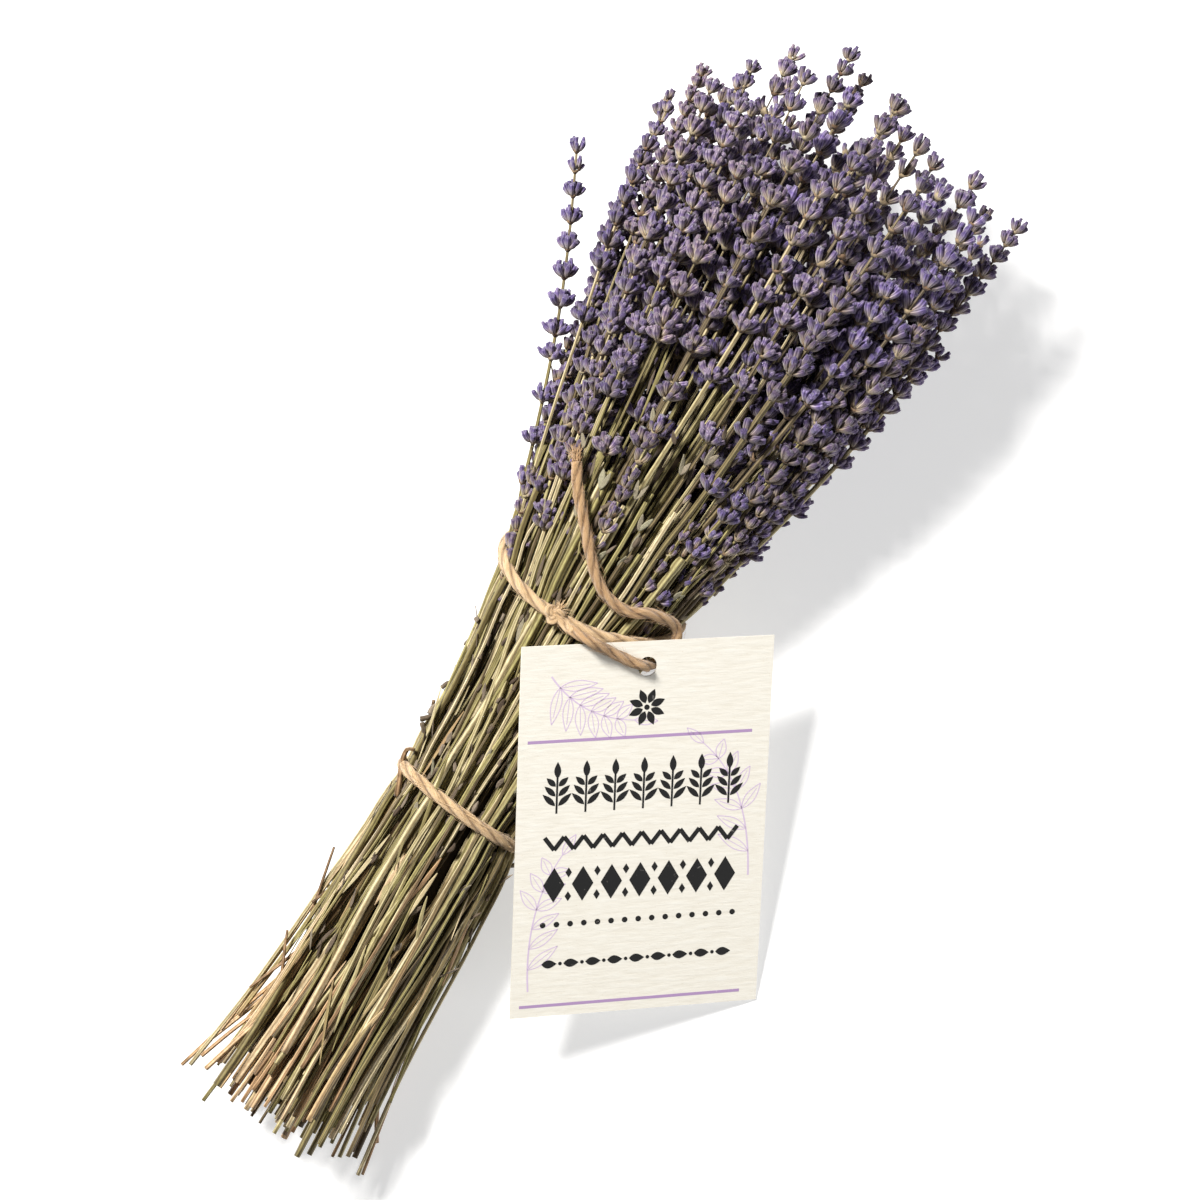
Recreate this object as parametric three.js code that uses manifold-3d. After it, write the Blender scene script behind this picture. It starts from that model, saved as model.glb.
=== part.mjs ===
// A bunch of dried lavender lying on its side: stems tied in two places with jute twine, with a flower
// spike on the end of each that reaches the head, and a blank card tag threaded on the upper tie's end.
// Units are millimetres. +X runs along the stems from the cut ends to the flower tips, and +Z is up.

import * as THREE from "three";
import { mergeVertices } from "three/addons/utils/BufferGeometryUtils.js";
import Module from "manifold-3d";

const wasm = await Module();
wasm.setup();

// ---------------------------------------------------------------- driving dimensions

// The bunch's outline, as [x, half width, half depth, height of the middle].
const PROFILE = [
  [-190, 25.5, 18, 17],
  [-150, 22, 16, 15.9],
  [-110, 21.5, 16, 17.4],
  [-71, 20, 15.2, 20.3],
  [-38, 21, 16, 22.1],
  [-3, 26, 18, 24.5],
  [50, 39, 26.5, 29.4],
  [100, 49, 34.5, 35.1],
  [150, 56, 38.5, 38.8],
  [190, 60, 41, 41],
];

// Where each tie is at the bunch's sides, and how far it slants: sideways, and back at the top.
const LOWER_TIE = { x: -71, sideways: 2, back: 1, knot: THREE.MathUtils.degToRad(200) };
const UPPER_TIE = { x: 1.5, sideways: -1.5, back: 11.5, knot: THREE.MathUtils.degToRad(80) };
const TWINE_R = 1.8; // jute twine, 3.6 mm thick
const TWINE_BITE = 2.2; // how far a tie sinks into the bunch
const TWINE_GAP = 0.8; // a tie's clearance over the stems
const TWINE_SIDES = 6;
const TIE_STEPS = 26;

// The packed middle of the bunch, where stems lie against each other, and how it narrows towards both ends.
const CORE_FROM = -136;
const CORE_TO = 17;
const CORE_START = [{ x: -152, share: 0.7 }];
const CORE_END = [
  { x: 40, share: 0.84 },
  { x: 60, share: 0.6 },
];
const RIDGES = 36; // stems that show round the middle
const RIDGE_HEIGHT = 2;
const RIDGE_SHAKE = 0.35; // how much further out or in one point of a ridge is than another
const RIDGE_DRIFT = 0.25; // and how far round, as a share of the step from a ridge to a valley
const RIDGE_TWIST = 0.03; // radians from one ring to the next
const RIDGE_TOP = RIDGE_HEIGHT / 2 + RIDGE_SHAKE;
const CORE_STATIONS = [-112, -36]; // rings between its ends, besides those at the ties
const TIE_SHOULDER = 9; // from a tie to where the bunch has its own width again
const SLANT_REACH = 40; // how far from the upper tie its slant dies away

const STEM_R = 1.2;
const STEM_SIDES = 3;
const CUT_RINGS = [
  { count: RIDGES, reach: 0.9 }, // one for each ridge
  { count: 18, reach: 0.62 },
  { count: 8, reach: 0.3 },
];
const CUT_FROM = -132; // where a cut end leaves the middle
const CUT_LENGTH = [28, 50];
const CUT_FLARE = { sideways: 2.5, upwards: 1.2 };
const CUT_BEND = 0.45; // where a cut end bends, as a share of its length
const FLOWER_STEM_BENDS = [0.25, 0.6];
const STEM_ROOT = 2; // how deep a flowering stem starts in the middle

const ROWS = 7; // of spikes, from the bottom of the head to its top
const ROW_REACH = 0.88; // the lowest and highest rows' place, as a share of the outline
const SPIKE_GRID = 10.2; // spacing of the spikes along a row
const GRID_SHAKE = 0.9; // how much one is off it
const HEAD_X = 100; // where that spacing is measured
const HEAD_EDGE = { width: 0.93, depth: 1, roundness: 2.35 }; // how far out the rows reach
const CALYXES = 5; // in each whorl
const WHORLS = 5;
const WHORL_R = 5.2;
const WHORL_PITCH = 9;
const WHORL_STEP = 0.96; // from a whorl to the next, as a share of the pitch
const CALYX_LENGTH = 1.08; // of a whorl's calyxes, as a share of the pitch
const VALLEY_R = 0.58; // between two calyxes, as a share of the whorl's radius
const VALLEY_DROP = 0.34; // and of its height
const LAST_WHORL = 0.8; // the topmost full whorl's radius, as a share of the others'
const LOW_WHORL = { radius: 0.85, length: 0.85, end: 0.7 }; // the lone whorl lower down, against the others
const RACHIS_R = 1.1;
const TOP_WHORL_R = 2.9;
const TOP_WHORL_LENGTH = 7;
const BUD_LENGTH = 4.5;
const TOP_LENGTH = 6; // what a spike has beyond its whorls' pitches
const TIP_X = 171; // the furthest tips, in the middle of the head
const TIP_DROP = 26; // how much further back the tips are at its edge
const TIP_ROUNDNESS = 2.5;
const TIP_SPREAD = 34; // and how much one spike is behind another
const LOW_WHORL_EVERY = 3; // one spike in three has a whorl lower down, on its own
const LOW_WHORL_DROP = [12, 34];
const LOW_WHORL_CLEAR = 4; // from the end of the packed middle
const JOIN_GAP = 0.35; // between a stem and its flower spike
const NEIGHBOUR_GAP = 0.5;
const NEIGHBOUR_SAMPLES = [-6, -3, 0, 3, 6];

// Spikes that stand out of the bunch, placed by their tips: [x, y, height above the middle].
const STRAYS = [
  [107, 66, 6],
  [152, -53, 4],
  [112, -54, -8],
];
const STRAY_BASE = 0.94; // how far out they are in the tied bunch
const STRAY_FROM = 30; // where they start to leave it
const STRAY_OVER = 80;

const KNOT = { r: 2.9, wide: 1.35, high: 0.95, out: 1.6 };

const CARD = { width: 75, length: 111, thickness: 0.6, corner: [-22.4, 8], low: 0.35 };
const CARD_SLOPE = { x: 0.075, y: 0.418 }; // rise of the card, which leans on the bunch and on one corner
const CARD_TURN = THREE.MathUtils.degToRad(60.2); // of its top edge from +X, towards -Y
const HOLE = { across: 37.2, down: 7.4, r: 2.9, segments: 12 };
const STRING_R = 1.6;
const STRING_STEPS = 30;
const STRING_SIDES = 8;
const CLEAR_OF_CARD = 0.7;
const CLEAR_OF_STEMS = 0.5;

const SEED = 20260;
const COLOURS = { stem: 0xa09a62, calyx: 0x6d6391, twine: 0xc39a68, card: 0xeee7da };
const ROUGHNESS = 0.85;

// ---------------------------------------------------------------- small tools

// Evenly spread numbers from 0 to 1, the same ones on each run.
function randomNumbers(seed) {
  let a = seed;
  return () => {
    a = (a + 0x6d2b79f5) | 0;
    let t = Math.imul(a ^ (a >>> 15), 1 | a);
    t = (t + Math.imul(t ^ (t >>> 7), 61 | t)) ^ t;
    return ((t ^ (t >>> 14)) >>> 0) / 4294967296;
  };
}

const mix = (a, b, t) => a + (b - a) * t;
const clamp01 = (t) => Math.min(1, Math.max(0, t));

// The bunch's section at x, by a smooth curve through the outline's stations.
function section(x) {
  const last = PROFILE.length - 2;
  let i = 0;
  while (i < last && PROFILE[i + 1][0] < x) i++;
  const station = (k) => PROFILE[Math.min(last + 1, Math.max(0, k))];
  const [p0, p1, p2, p3] = [i - 1, i, i + 1, i + 2].map(station);
  const span = p2[0] - p1[0];
  const t = (x - p1[0]) / span;
  const at = (k) => {
    const slope1 = ((p2[k] - p0[k]) / (p2[0] - p0[0])) * span;
    const slope2 = ((p3[k] - p1[k]) / (p3[0] - p1[0])) * span;
    const t2 = t * t;
    const t3 = t2 * t;
    const start = (2 * t3 - 3 * t2 + 1) * p1[k] + (t3 - 2 * t2 + t) * slope1;
    return start + (3 * t2 - 2 * t3) * p2[k] + (t3 - t2) * slope2;
  };
  return { halfWidth: at(1), halfDepth: at(2), middle: at(3) };
}

// A closed skin over rings of points that run anticlockwise as seen from the last ring. A ring may have
// twice the points of the one before or after it: then every second point is a valley between two tips.
function skin(rings, closed = false) {
  const points = rings.flat();
  const starts = rings.map((_, i) => rings.slice(0, i).reduce((n, r) => n + r.length, 0));
  const faces = [];
  const joins = closed ? rings.length : rings.length - 1;
  for (let r = 0; r < joins; r++) {
    const next = (r + 1) % rings.length;
    const [a, b] = [starts[r], starts[next]];
    const [na, nb] = [rings[r].length, rings[next].length];
    const A = (k) => a + (k % na);
    const B = (k) => b + (k % nb);
    for (let i = 0; i < (nb === 1 ? na : Math.min(na, nb)); i++) {
      if (nb === 1) {
        faces.push([A(i), A(i + 1), b]);
      } else if (na === nb) {
        faces.push([A(i), A(i + 1), B(i + 1)]);
        faces.push([A(i), B(i + 1), B(i)]);
      } else if (nb > na) {
        faces.push([A(i), B(2 * i + 1), B(2 * i)]);
        faces.push([A(i), A(i + 1), B(2 * i + 1)]);
        faces.push([A(i + 1), B(2 * i + 2), B(2 * i + 1)]);
      } else {
        faces.push([A(2 * i + 1), A(2 * i + 2), B(i)]);
        faces.push([A(2 * i + 2), B(i + 1), B(i)]);
        faces.push([A(2 * i + 2), A(2 * i + 3), B(i + 1)]);
      }
    }
  }
  if (!closed) {
    for (const [r, forward] of [[0, false], [rings.length - 1, true]]) {
      const n = rings[r].length;
      // A ridged end is filled from its middle, and a small one from its first corner.
      const ridged = n === 2 * RIDGES;
      const hub = ridged ? points.length : starts[r];
      if (ridged) points.push(rings[r].reduce((sum, p) => sum.add(p), new THREE.Vector3()).divideScalar(n));
      for (let i = ridged ? 0 : 1; i < (ridged ? n : n - 1); i++) {
        const [p, q] = [starts[r] + i, starts[r] + ((i + 1) % n)];
        faces.push(forward ? [p, q, hub] : [q, p, hub]);
      }
    }
  }
  return new THREE.BufferGeometry().setFromPoints(points).setIndex(faces.flat());
}

// A ring of points round a place, square to a direction. With two radii, tips and valleys take turns.
function ringAt(centre, direction, radii, count, phase = 0, forward = [0]) {
  const across = new THREE.Vector3().crossVectors(direction, new THREE.Vector3(0, 0, 1)).normalize();
  const up = new THREE.Vector3().crossVectors(direction, across);
  return Array.from({ length: count * radii.length }, (_, i) => {
    const angle = phase + (i / (count * radii.length)) * 2 * Math.PI;
    const k = i % radii.length;
    return centre
      .clone()
      .addScaledVector(across, radii[k] * Math.cos(angle))
      .addScaledVector(up, radii[k] * Math.sin(angle))
      .addScaledVector(direction, forward[k % forward.length]);
  });
}

// A tube along points, with flat ends, or a closed loop.
function tube(path, radius, sides, closed = false) {
  const n = path.length;
  const rings = path.map((p, i) => {
    const before = closed ? path[(i + n - 1) % n] : path[Math.max(0, i - 1)];
    const after = closed ? path[(i + 1) % n] : path[Math.min(n - 1, i + 1)];
    return { p, along: new THREE.Vector3().subVectors(after, before).normalize() };
  });
  // The section is carried along the path without twisting.
  let across = new THREE.Vector3(0, 0, 1).cross(rings[0].along);
  if (across.lengthSq() < 0.01) across.set(0, 1, 0);
  return skin(
    rings.map(({ p, along }) => {
      across = across.clone().addScaledVector(along, -across.dot(along)).normalize();
      const up = new THREE.Vector3().crossVectors(along, across);
      return Array.from({ length: sides }, (_, k) => {
        const angle = ((k + 0.5) / sides) * 2 * Math.PI;
        return p
          .clone()
          .addScaledVector(across, radius * Math.cos(angle))
          .addScaledVector(up, radius * Math.sin(angle));
      });
    }),
    closed,
  );
}

// A geometry to a solid that can be joined and cut, and back.
function solidOf(geometry) {
  const bare = geometry.clone();
  bare.deleteAttribute("normal");
  bare.deleteAttribute("uv");
  const merged = mergeVertices(bare, 1e-4);
  return new wasm.Manifold(
    new wasm.Mesh({
      numProp: 3,
      vertProperties: new Float32Array(merged.attributes.position.array),
      triVerts: new Uint32Array(merged.index.array),
    }),
  );
}

function geometryOf(solid) {
  const mesh = solid.getMesh();
  const geometry = new THREE.BufferGeometry();
  geometry.setAttribute("position", new THREE.BufferAttribute(Float32Array.from(mesh.vertProperties), 3));
  geometry.setIndex(new THREE.BufferAttribute(Uint32Array.from(mesh.triVerts), 1));
  geometry.computeVertexNormals();
  return geometry;
}

const union = (solids) => solids.slice(1).reduce((sum, s) => sum.add(s), solids[0]);

// Everything that would reach below the surface is flattened there.
const flattened = (solid) => solid.trimByPlane([0, 0, 1], 0);

// ---------------------------------------------------------------- the lines that the stems follow

// A stem keeps its place (u, v) in the section all the way, so that no two stems cross. One that strays
// leaves the outline past STRAY_FROM, by its own share.
function stemPoint(stem, x) {
  const s = section(x);
  const away = clamp01((x - STRAY_FROM) / STRAY_OVER) ** 2;
  const spread = 1 + stem.stray * away;
  return new THREE.Vector3(x, stem.u * s.halfWidth * spread, s.middle + stem.v * s.halfDepth * spread);
}

function stemDirection(stem, x) {
  return new THREE.Vector3().subVectors(stemPoint(stem, x + 1), stemPoint(stem, x - 1)).normalize();
}

// The x that lies a given length further along a stem.
function further(stem, x, length) {
  return x + length * stemDirection(stem, x + length / 2).x;
}

// ---------------------------------------------------------------- where the spikes are

function spikePlaces() {
  const head = section(HEAD_X);
  const width = head.halfWidth * HEAD_EDGE.width;
  const depth = head.halfDepth * HEAD_EDGE.depth;
  const power = HEAD_EDGE.roundness;
  const columns = Math.ceil(width / SPIKE_GRID);
  const random = randomNumbers(SEED);
  const places = [];
  for (let row = 0; row < ROWS; row++) {
    for (let column = -columns; column <= columns; column++) {
      const y = (column + (row % 2) / 2) * SPIKE_GRID;
      const z = head.halfDepth * mix(-ROW_REACH, ROW_REACH, row / (ROWS - 1));
      const edge = (Math.abs(y / width) ** power + Math.abs(z / depth) ** power) ** (1 / power);
      const draws = [random(), random(), random(), random()];
      if (edge > 1) continue;
      places.push({
        u: (y + (draws[0] - 0.5) * GRID_SHAKE) / head.halfWidth,
        v: (z + (draws[1] - 0.5) * GRID_SHAKE) / head.halfDepth,
        stray: 0,
        tip: TIP_X - TIP_DROP * edge ** TIP_ROUNDNESS - draws[2] * TIP_SPREAD,
        turn: draws[3] * 2 * Math.PI,
      });
    }
  }
  for (const [x, y, z] of STRAYS) {
    const s = section(x);
    const reach = Math.hypot(y / s.halfWidth, z / s.halfDepth);
    const away = clamp01((x - STRAY_FROM) / STRAY_OVER) ** 2;
    places.push({
      u: ((y / s.halfWidth) * STRAY_BASE) / reach,
      v: ((z / s.halfDepth) * STRAY_BASE) / reach,
      stray: (reach / STRAY_BASE - 1) / away,
      tip: x,
      turn: random() * 2 * Math.PI,
    });
  }
  return places.map((place, i) => {
    const length = WHORLS * WHORL_PITCH + TOP_LENGTH;
    const base = further(place, place.tip, -length);
    const drop = mix(LOW_WHORL_DROP[0], LOW_WHORL_DROP[1], random());
    const lowest = Math.max(further(place, base, -drop), CORE_END.at(-1).x + LOW_WHORL_CLEAR);
    const hasLowWhorl = i % LOW_WHORL_EVERY === 0 && lowest < base - LOW_WHORL_DROP[0] / 2;
    const low = hasLowWhorl ? lowest : base;
    return { ...place, base, low };
  });
}

// How wide a whorl can be at x without touching another stem's flowers.
function roomAt(spikes, spike, x) {
  const here = stemPoint(spike, x);
  return spikes
    .filter((other) => other !== spike)
    .map((other) => {
      if (x > other.tip + WHORL_PITCH) return Infinity;
      const distances = NEIGHBOUR_SAMPLES.map((d) => here.distanceTo(stemPoint(other, x + d)));
      const apart = Math.min(...distances) - NEIGHBOUR_GAP;
      return x > other.low - WHORL_PITCH ? apart / 2 : apart - STEM_R;
    })
    .reduce((a, b) => Math.min(a, b), WHORL_R);
}

// ---------------------------------------------------------------- the pieces

// A spike: whorls of pointed calyxes, each a cup that the next one stands in, up to a bud at the top.
function spikeSolid(spikes, spike) {
  const rings = [];
  let turn = spike.turn;
  const halfStep = Math.PI / CALYXES;
  const ring = (x, radii, forward) =>
    rings.push(ringAt(stemPoint(spike, x), stemDirection(spike, x), radii, CALYXES, turn, forward));
  const rachis = (x) => ring(x, [RACHIS_R]);
  const crown = (x, radius, height) => {
    ring(further(spike, x, height), [radius, radius * VALLEY_R], [0, -height * VALLEY_DROP]);
    turn += halfStep;
  };
  let x = further(spike, spike.low, JOIN_GAP);
  if (spike.low < spike.base) {
    rachis(x);
    const radius = Math.min(WHORL_R * LOW_WHORL.radius, roomAt(spikes, spike, x + WHORL_PITCH));
    crown(x, radius, WHORL_PITCH * LOW_WHORL.length);
    x = further(spike, x, WHORL_PITCH * LOW_WHORL.end);
    rachis(x);
    x = spike.base;
  }
  for (let k = 0; k < WHORLS; k++) {
    rachis(x);
    const full = k === WHORLS - 1 ? WHORL_R * LAST_WHORL : WHORL_R;
    const room = roomAt(spikes, spike, further(spike, x, WHORL_PITCH));
    crown(x, Math.min(room, full), WHORL_PITCH * CALYX_LENGTH);
    x = further(spike, x, WHORL_PITCH * WHORL_STEP);
  }
  rachis(x);
  crown(x, TOP_WHORL_R, TOP_WHORL_LENGTH);
  rings.push([stemPoint(spike, further(spike, x, BUD_LENGTH))]);
  return skin(rings);
}

// How far a tie is from its own x at an angle round the bunch, from +Y towards the top.
function tieOffset(tie, angle) {
  return tie.sideways * Math.cos(angle) - tie.back * Math.sin(angle);
}

// The middle's rings slant as the upper tie does, less so further away.
function slanted(x, angle) {
  return x + tieOffset(UPPER_TIE, angle) * Math.exp(-(((x - UPPER_TIE.x) / SLANT_REACH) ** 2));
}

// Rings round the packed middle, with a ridge for each stem that shows.
function coreGeometry(random) {
  const bite = (x) => (x === LOWER_TIE.x || x === UPPER_TIE.x ? TWINE_BITE : 0);
  const tied = [LOWER_TIE.x, UPPER_TIE.x].flatMap((x) => [x - TIE_SHOULDER, x, x + TIE_SHOULDER]);
  const stations = [CORE_FROM, ...CORE_STATIONS, CORE_TO, ...tied].sort((a, b) => a - b);
  const along = stations.map((x) => ({ x, share: 1 }));
  const rings = [...CORE_START, ...along, ...CORE_END].map(({ x: station, share }, s) => {
    const twist = s * RIDGE_TWIST;
    return Array.from({ length: 2 * RIDGES }, (_, k) => {
      const angle = ((k + (random() - 0.5) * RIDGE_DRIFT) / RIDGES) * Math.PI + twist;
      const x = slanted(station, angle);
      const { halfWidth, halfDepth, middle } = section(x);
      const ridge = k % 2 ? -RIDGE_HEIGHT / 2 : RIDGE_HEIGHT / 2;
      const out = ridge + (random() - 0.5) * 2 * RIDGE_SHAKE - bite(station);
      return new THREE.Vector3(
        x,
        share * (halfWidth + out) * Math.cos(angle),
        middle + share * (halfDepth + out) * Math.sin(angle),
      );
    });
  });
  return skin(rings);
}

function cutEnds(random) {
  return CUT_RINGS.flatMap(({ count, reach }) =>
    Array.from({ length: count }, (_, k) => {
      const angle = (k / count) * 2 * Math.PI;
      const stem = { u: reach * Math.cos(angle), v: reach * Math.sin(angle), stray: 0 };
      const length = mix(CUT_LENGTH[0], CUT_LENGTH[1], random());
      const sideways = CUT_FLARE.sideways * mix(-1, 1, random());
      const upwards = CUT_FLARE.upwards * mix(-1, 1, random());
      const flare = new THREE.Vector3(0, sideways, upwards);
      const at = (t) => stemPoint(stem, CUT_FROM - t * length).addScaledVector(flare, t);
      return tube([at(1), at(CUT_BEND), at(0)], STEM_R, STEM_SIDES);
    }),
  );
}

function flowerStems(spikes) {
  return spikes.map((spike) => {
    const from = slanted(CORE_TO, Math.atan2(spike.v, spike.u)) - STEM_ROOT;
    const path = [0, ...FLOWER_STEM_BENDS, 1].map((t) => stemPoint(spike, mix(from, spike.low, t)));
    return tube(path, STEM_R, STEM_SIDES);
  });
}

function stemsSolid(spikes) {
  const random = randomNumbers(SEED + 1);
  const pieces = [coreGeometry(random), ...cutEnds(random), ...flowerStems(spikes)];
  return union(pieces.map(solidOf));
}

// The line of a tie round the bunch, over the ridges.
function tiePoint(tie, angle) {
  const x = tie.x + tieOffset(tie, angle);
  const { halfWidth, halfDepth, middle } = section(x);
  const out = RIDGE_TOP - TWINE_BITE + TWINE_GAP + TWINE_R;
  return new THREE.Vector3(
    x,
    (halfWidth + out) * Math.cos(angle),
    middle + (halfDepth + out) * Math.sin(angle),
  );
}

function tieSolid(tie) {
  const path = Array.from({ length: TIE_STEPS }, (_, i) => tiePoint(tie, (i / TIE_STEPS) * 2 * Math.PI));
  const knot = new THREE.IcosahedronGeometry(KNOT.r, 1).scale(KNOT.wide, 1, KNOT.high);
  const place = tiePoint(tie, tie.knot);
  const { middle } = section(place.x);
  const out = new THREE.Vector3(0, place.y, place.z - middle).normalize();
  knot.translate(...place.addScaledVector(out, KNOT.out).toArray());
  return union([solidOf(tube(path, TWINE_R, TWINE_SIDES, true)), solidOf(knot)]);
}

// The card's own directions: along its top edge, down its long side, and out of its face.
function cardFrame() {
  const face = new THREE.Vector3(-CARD_SLOPE.x, -CARD_SLOPE.y, 1).normalize();
  const level = new THREE.Vector3(1, 0, CARD_SLOPE.x).normalize();
  const side = new THREE.Vector3().crossVectors(face, level);
  const [cos, sin] = [Math.cos(CARD_TURN), Math.sin(CARD_TURN)];
  const across = level.clone().multiplyScalar(cos).addScaledVector(side, -sin);
  const down = new THREE.Vector3().crossVectors(across, face);
  // The corner furthest from the bunch is the one that rests on the surface.
  const [x, y] = CARD.corner;
  const lowCorner = across.clone().multiplyScalar(CARD.width).addScaledVector(down, CARD.length);
  const corner = new THREE.Vector3(x, y, CARD.low - lowCorner.z);
  return { face, across, down, corner };
}

function cardPoint(across, down, above) {
  const card = cardFrame();
  return card.corner
    .clone()
    .addScaledVector(card.across, across)
    .addScaledVector(card.down, down)
    .addScaledVector(card.face, above);
}

function cardGeometry() {
  const outline = new THREE.Shape([
    new THREE.Vector2(0, 0),
    new THREE.Vector2(0, -CARD.length),
    new THREE.Vector2(CARD.width, -CARD.length),
    new THREE.Vector2(CARD.width, 0),
  ]);
  outline.holes.push(new THREE.Path().absarc(HOLE.across, -HOLE.down, HOLE.r, 0, 2 * Math.PI, true));
  const geometry = new THREE.ExtrudeGeometry(outline, {
    depth: CARD.thickness,
    bevelEnabled: false,
    curveSegments: HOLE.segments,
  });
  const { face, across, down, corner } = cardFrame();
  const up = down.clone().negate();
  return geometry.applyMatrix4(new THREE.Matrix4().makeBasis(across, up, face).setPosition(corner));
}

// A place over the bunch's upper side.
function overStems(x, y, above) {
  const { halfWidth, halfDepth, middle } = section(x);
  const lift = Math.sqrt(1 - (y / (halfWidth + RIDGE_TOP)) ** 2);
  return new THREE.Vector3(x, y, middle + (halfDepth + RIDGE_TOP) * lift + above);
}

// A place over the card's lower face, or under it where the height is below zero.
function overCard(x, y, above) {
  const { corner } = cardFrame();
  const level = corner.z + CARD_SLOPE.x * (x - corner.x) + CARD_SLOPE.y * (y - corner.y);
  return new THREE.Vector3(x, y, level + above);
}

// The end of the upper tie: from the knot over the card's top edge, down through its hole, back beneath the
// card, and up along the bunch, where it lies loose.
function stringPath() {
  const knot = tiePoint(UPPER_TIE, UPPER_TIE.knot);
  const hole = cardPoint(HOLE.across, HOLE.down, CARD.thickness / 2);
  const onCard = CARD.thickness + STRING_R + CLEAR_OF_CARD;
  const onStems = STRING_R + CLEAR_OF_STEMS;
  const points = [
    knot.clone().add(new THREE.Vector3(-1.2, -5.8, 3.2)),
    overCard(hole.x - 2, hole.y + 18, onCard + 1),
    overCard(hole.x - 1.6, hole.y + 11, onCard),
    overCard(hole.x - 1.1, hole.y + 4.4, onCard - 0.2),
    overCard(hole.x - 0.5, hole.y + 1.6, 2.9),
    overCard(hole.x, hole.y + 0.1, 0.3),
    overCard(hole.x + 1.6, hole.y - 1.3, -3),
    overCard(-1.2, -29.2, -2.5),
    overStems(4.2, -27, onStems + 2),
    overStems(4, -19, onStems + 0.3),
    overStems(1, -12, onStems),
    overStems(3, -3, onStems),
    overStems(17, 11, onStems),
    overStems(24, 17, onStems),
    overStems(30, 21, onStems),
  ];
  return new THREE.CatmullRomCurve3(points, false, "centripetal");
}

function stringGeometry() {
  const corners = Array.from({ length: STRING_SIDES }, (_, k) => {
    const angle = ((k + 0.5) / STRING_SIDES) * 2 * Math.PI;
    return new THREE.Vector2(STRING_R * Math.cos(angle), STRING_R * Math.sin(angle));
  });
  const outline = new THREE.Shape(corners);
  return new THREE.ExtrudeGeometry(outline, { steps: STRING_STEPS, extrudePath: stringPath() });
}

// ---------------------------------------------------------------- the assembly

const bunch = new THREE.Group();
function addPiece(name, geometry, color) {
  const material = new THREE.MeshStandardMaterial({ color, roughness: ROUGHNESS, metalness: 0 });
  const mesh = new THREE.Mesh(geometry, material);
  mesh.name = name;
  bunch.add(mesh);
}

const spikes = spikePlaces();
addPiece("stems", geometryOf(flattened(stemsSolid(spikes))), COLOURS.stem);
spikes.forEach((spike, i) => {
  const solid = solidOf(spikeSolid(spikes, spike));
  addPiece("spike_" + String(i + 1).padStart(2, "0"), geometryOf(flattened(solid)), COLOURS.calyx);
});
addPiece("tie_lower", geometryOf(tieSolid(LOWER_TIE)), COLOURS.twine);
addPiece("tie_upper", geometryOf(tieSolid(UPPER_TIE)), COLOURS.twine);
addPiece("tag_card", cardGeometry(), COLOURS.card);
addPiece("tag_string", stringGeometry(), COLOURS.twine);

// The part's origin is under the middle of the whole, without the loose string.
const extent = new THREE.Box3();
const measured = bunch.children.filter((mesh) => mesh.name !== "tag_string");
measured.forEach((mesh) => extent.expandByObject(mesh));
const middle = extent.getCenter(new THREE.Vector3());
bunch.position.set(-middle.x, -middle.y, -extent.min.z);

export default bunch;
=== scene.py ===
"""A bunch of dried lavender on a pale floor, tied twice with jute twine, with a card tag on its string.

Lengths are the bunch's own millimetres, as in the solids' source, and to_frame turns them into the frame's
metres. A place in the bunch's section is (u, v), across it and up: 0 is its middle and 1 its outline."""

import bpy
import numpy as np
from mathutils import Matrix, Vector
from mathutils.geometry import delaunay_2d_cdt


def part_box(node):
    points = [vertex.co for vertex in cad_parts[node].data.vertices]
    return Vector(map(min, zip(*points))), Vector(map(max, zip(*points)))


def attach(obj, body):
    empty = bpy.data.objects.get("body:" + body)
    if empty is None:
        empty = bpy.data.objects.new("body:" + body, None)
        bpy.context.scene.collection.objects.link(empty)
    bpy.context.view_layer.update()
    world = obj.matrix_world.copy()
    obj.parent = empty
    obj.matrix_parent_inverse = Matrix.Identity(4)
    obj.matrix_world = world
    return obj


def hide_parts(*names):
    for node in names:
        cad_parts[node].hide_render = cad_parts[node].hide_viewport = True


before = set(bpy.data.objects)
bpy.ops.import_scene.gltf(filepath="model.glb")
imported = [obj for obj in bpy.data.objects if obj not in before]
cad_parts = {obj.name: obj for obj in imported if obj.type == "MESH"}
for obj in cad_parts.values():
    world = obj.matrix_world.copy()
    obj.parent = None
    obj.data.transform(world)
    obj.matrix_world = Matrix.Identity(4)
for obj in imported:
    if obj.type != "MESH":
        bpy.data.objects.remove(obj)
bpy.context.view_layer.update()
random = np.random.default_rng(53)
uniform, normal = random.uniform, random.normal
TURN = 2 * np.pi

# --------------- sizes in millimetres, most of them as in the solids' source

# Outline: x, half width, half depth, height of the middle.
PROFILE = np.array([
    (-190, 25.5, 18, 17),
    (-150, 22, 16, 15.9),
    (-110, 21.5, 16, 17.4),
    (-71, 20, 15.2, 20.3),
    (-38, 21, 16, 22.1),
    (-3, 26, 18, 24.5),
    (50, 39, 26.5, 29.4),
    (100, 49, 34.5, 35.1),
    (150, 56, 38.5, 38.8),
    (190, 60, 41, 41),
])
# The ties: their x, how far they slant across the bunch and over it, and their knots' angle.
LOWER_TIE = dict(x=-71, sideways=2, back=1, knot=np.radians(200))
UPPER_TIE = dict(x=1.5, sideways=-1.5, back=11.5, knot=np.radians(80))
TWINE_R = 1.8
TWINE_BITE = 2.2
TWINE_GAP = 0.8
RIDGE_OUT = 1.35
STRING_R = 1.6
# How far the ties' middle line is outside the section: in the solids, and here.
TIE_OUT = RIDGE_OUT - TWINE_BITE + TWINE_GAP + TWINE_R
SEEN_OUT = 1.0
TIE_FLAT = 0.74
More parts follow.
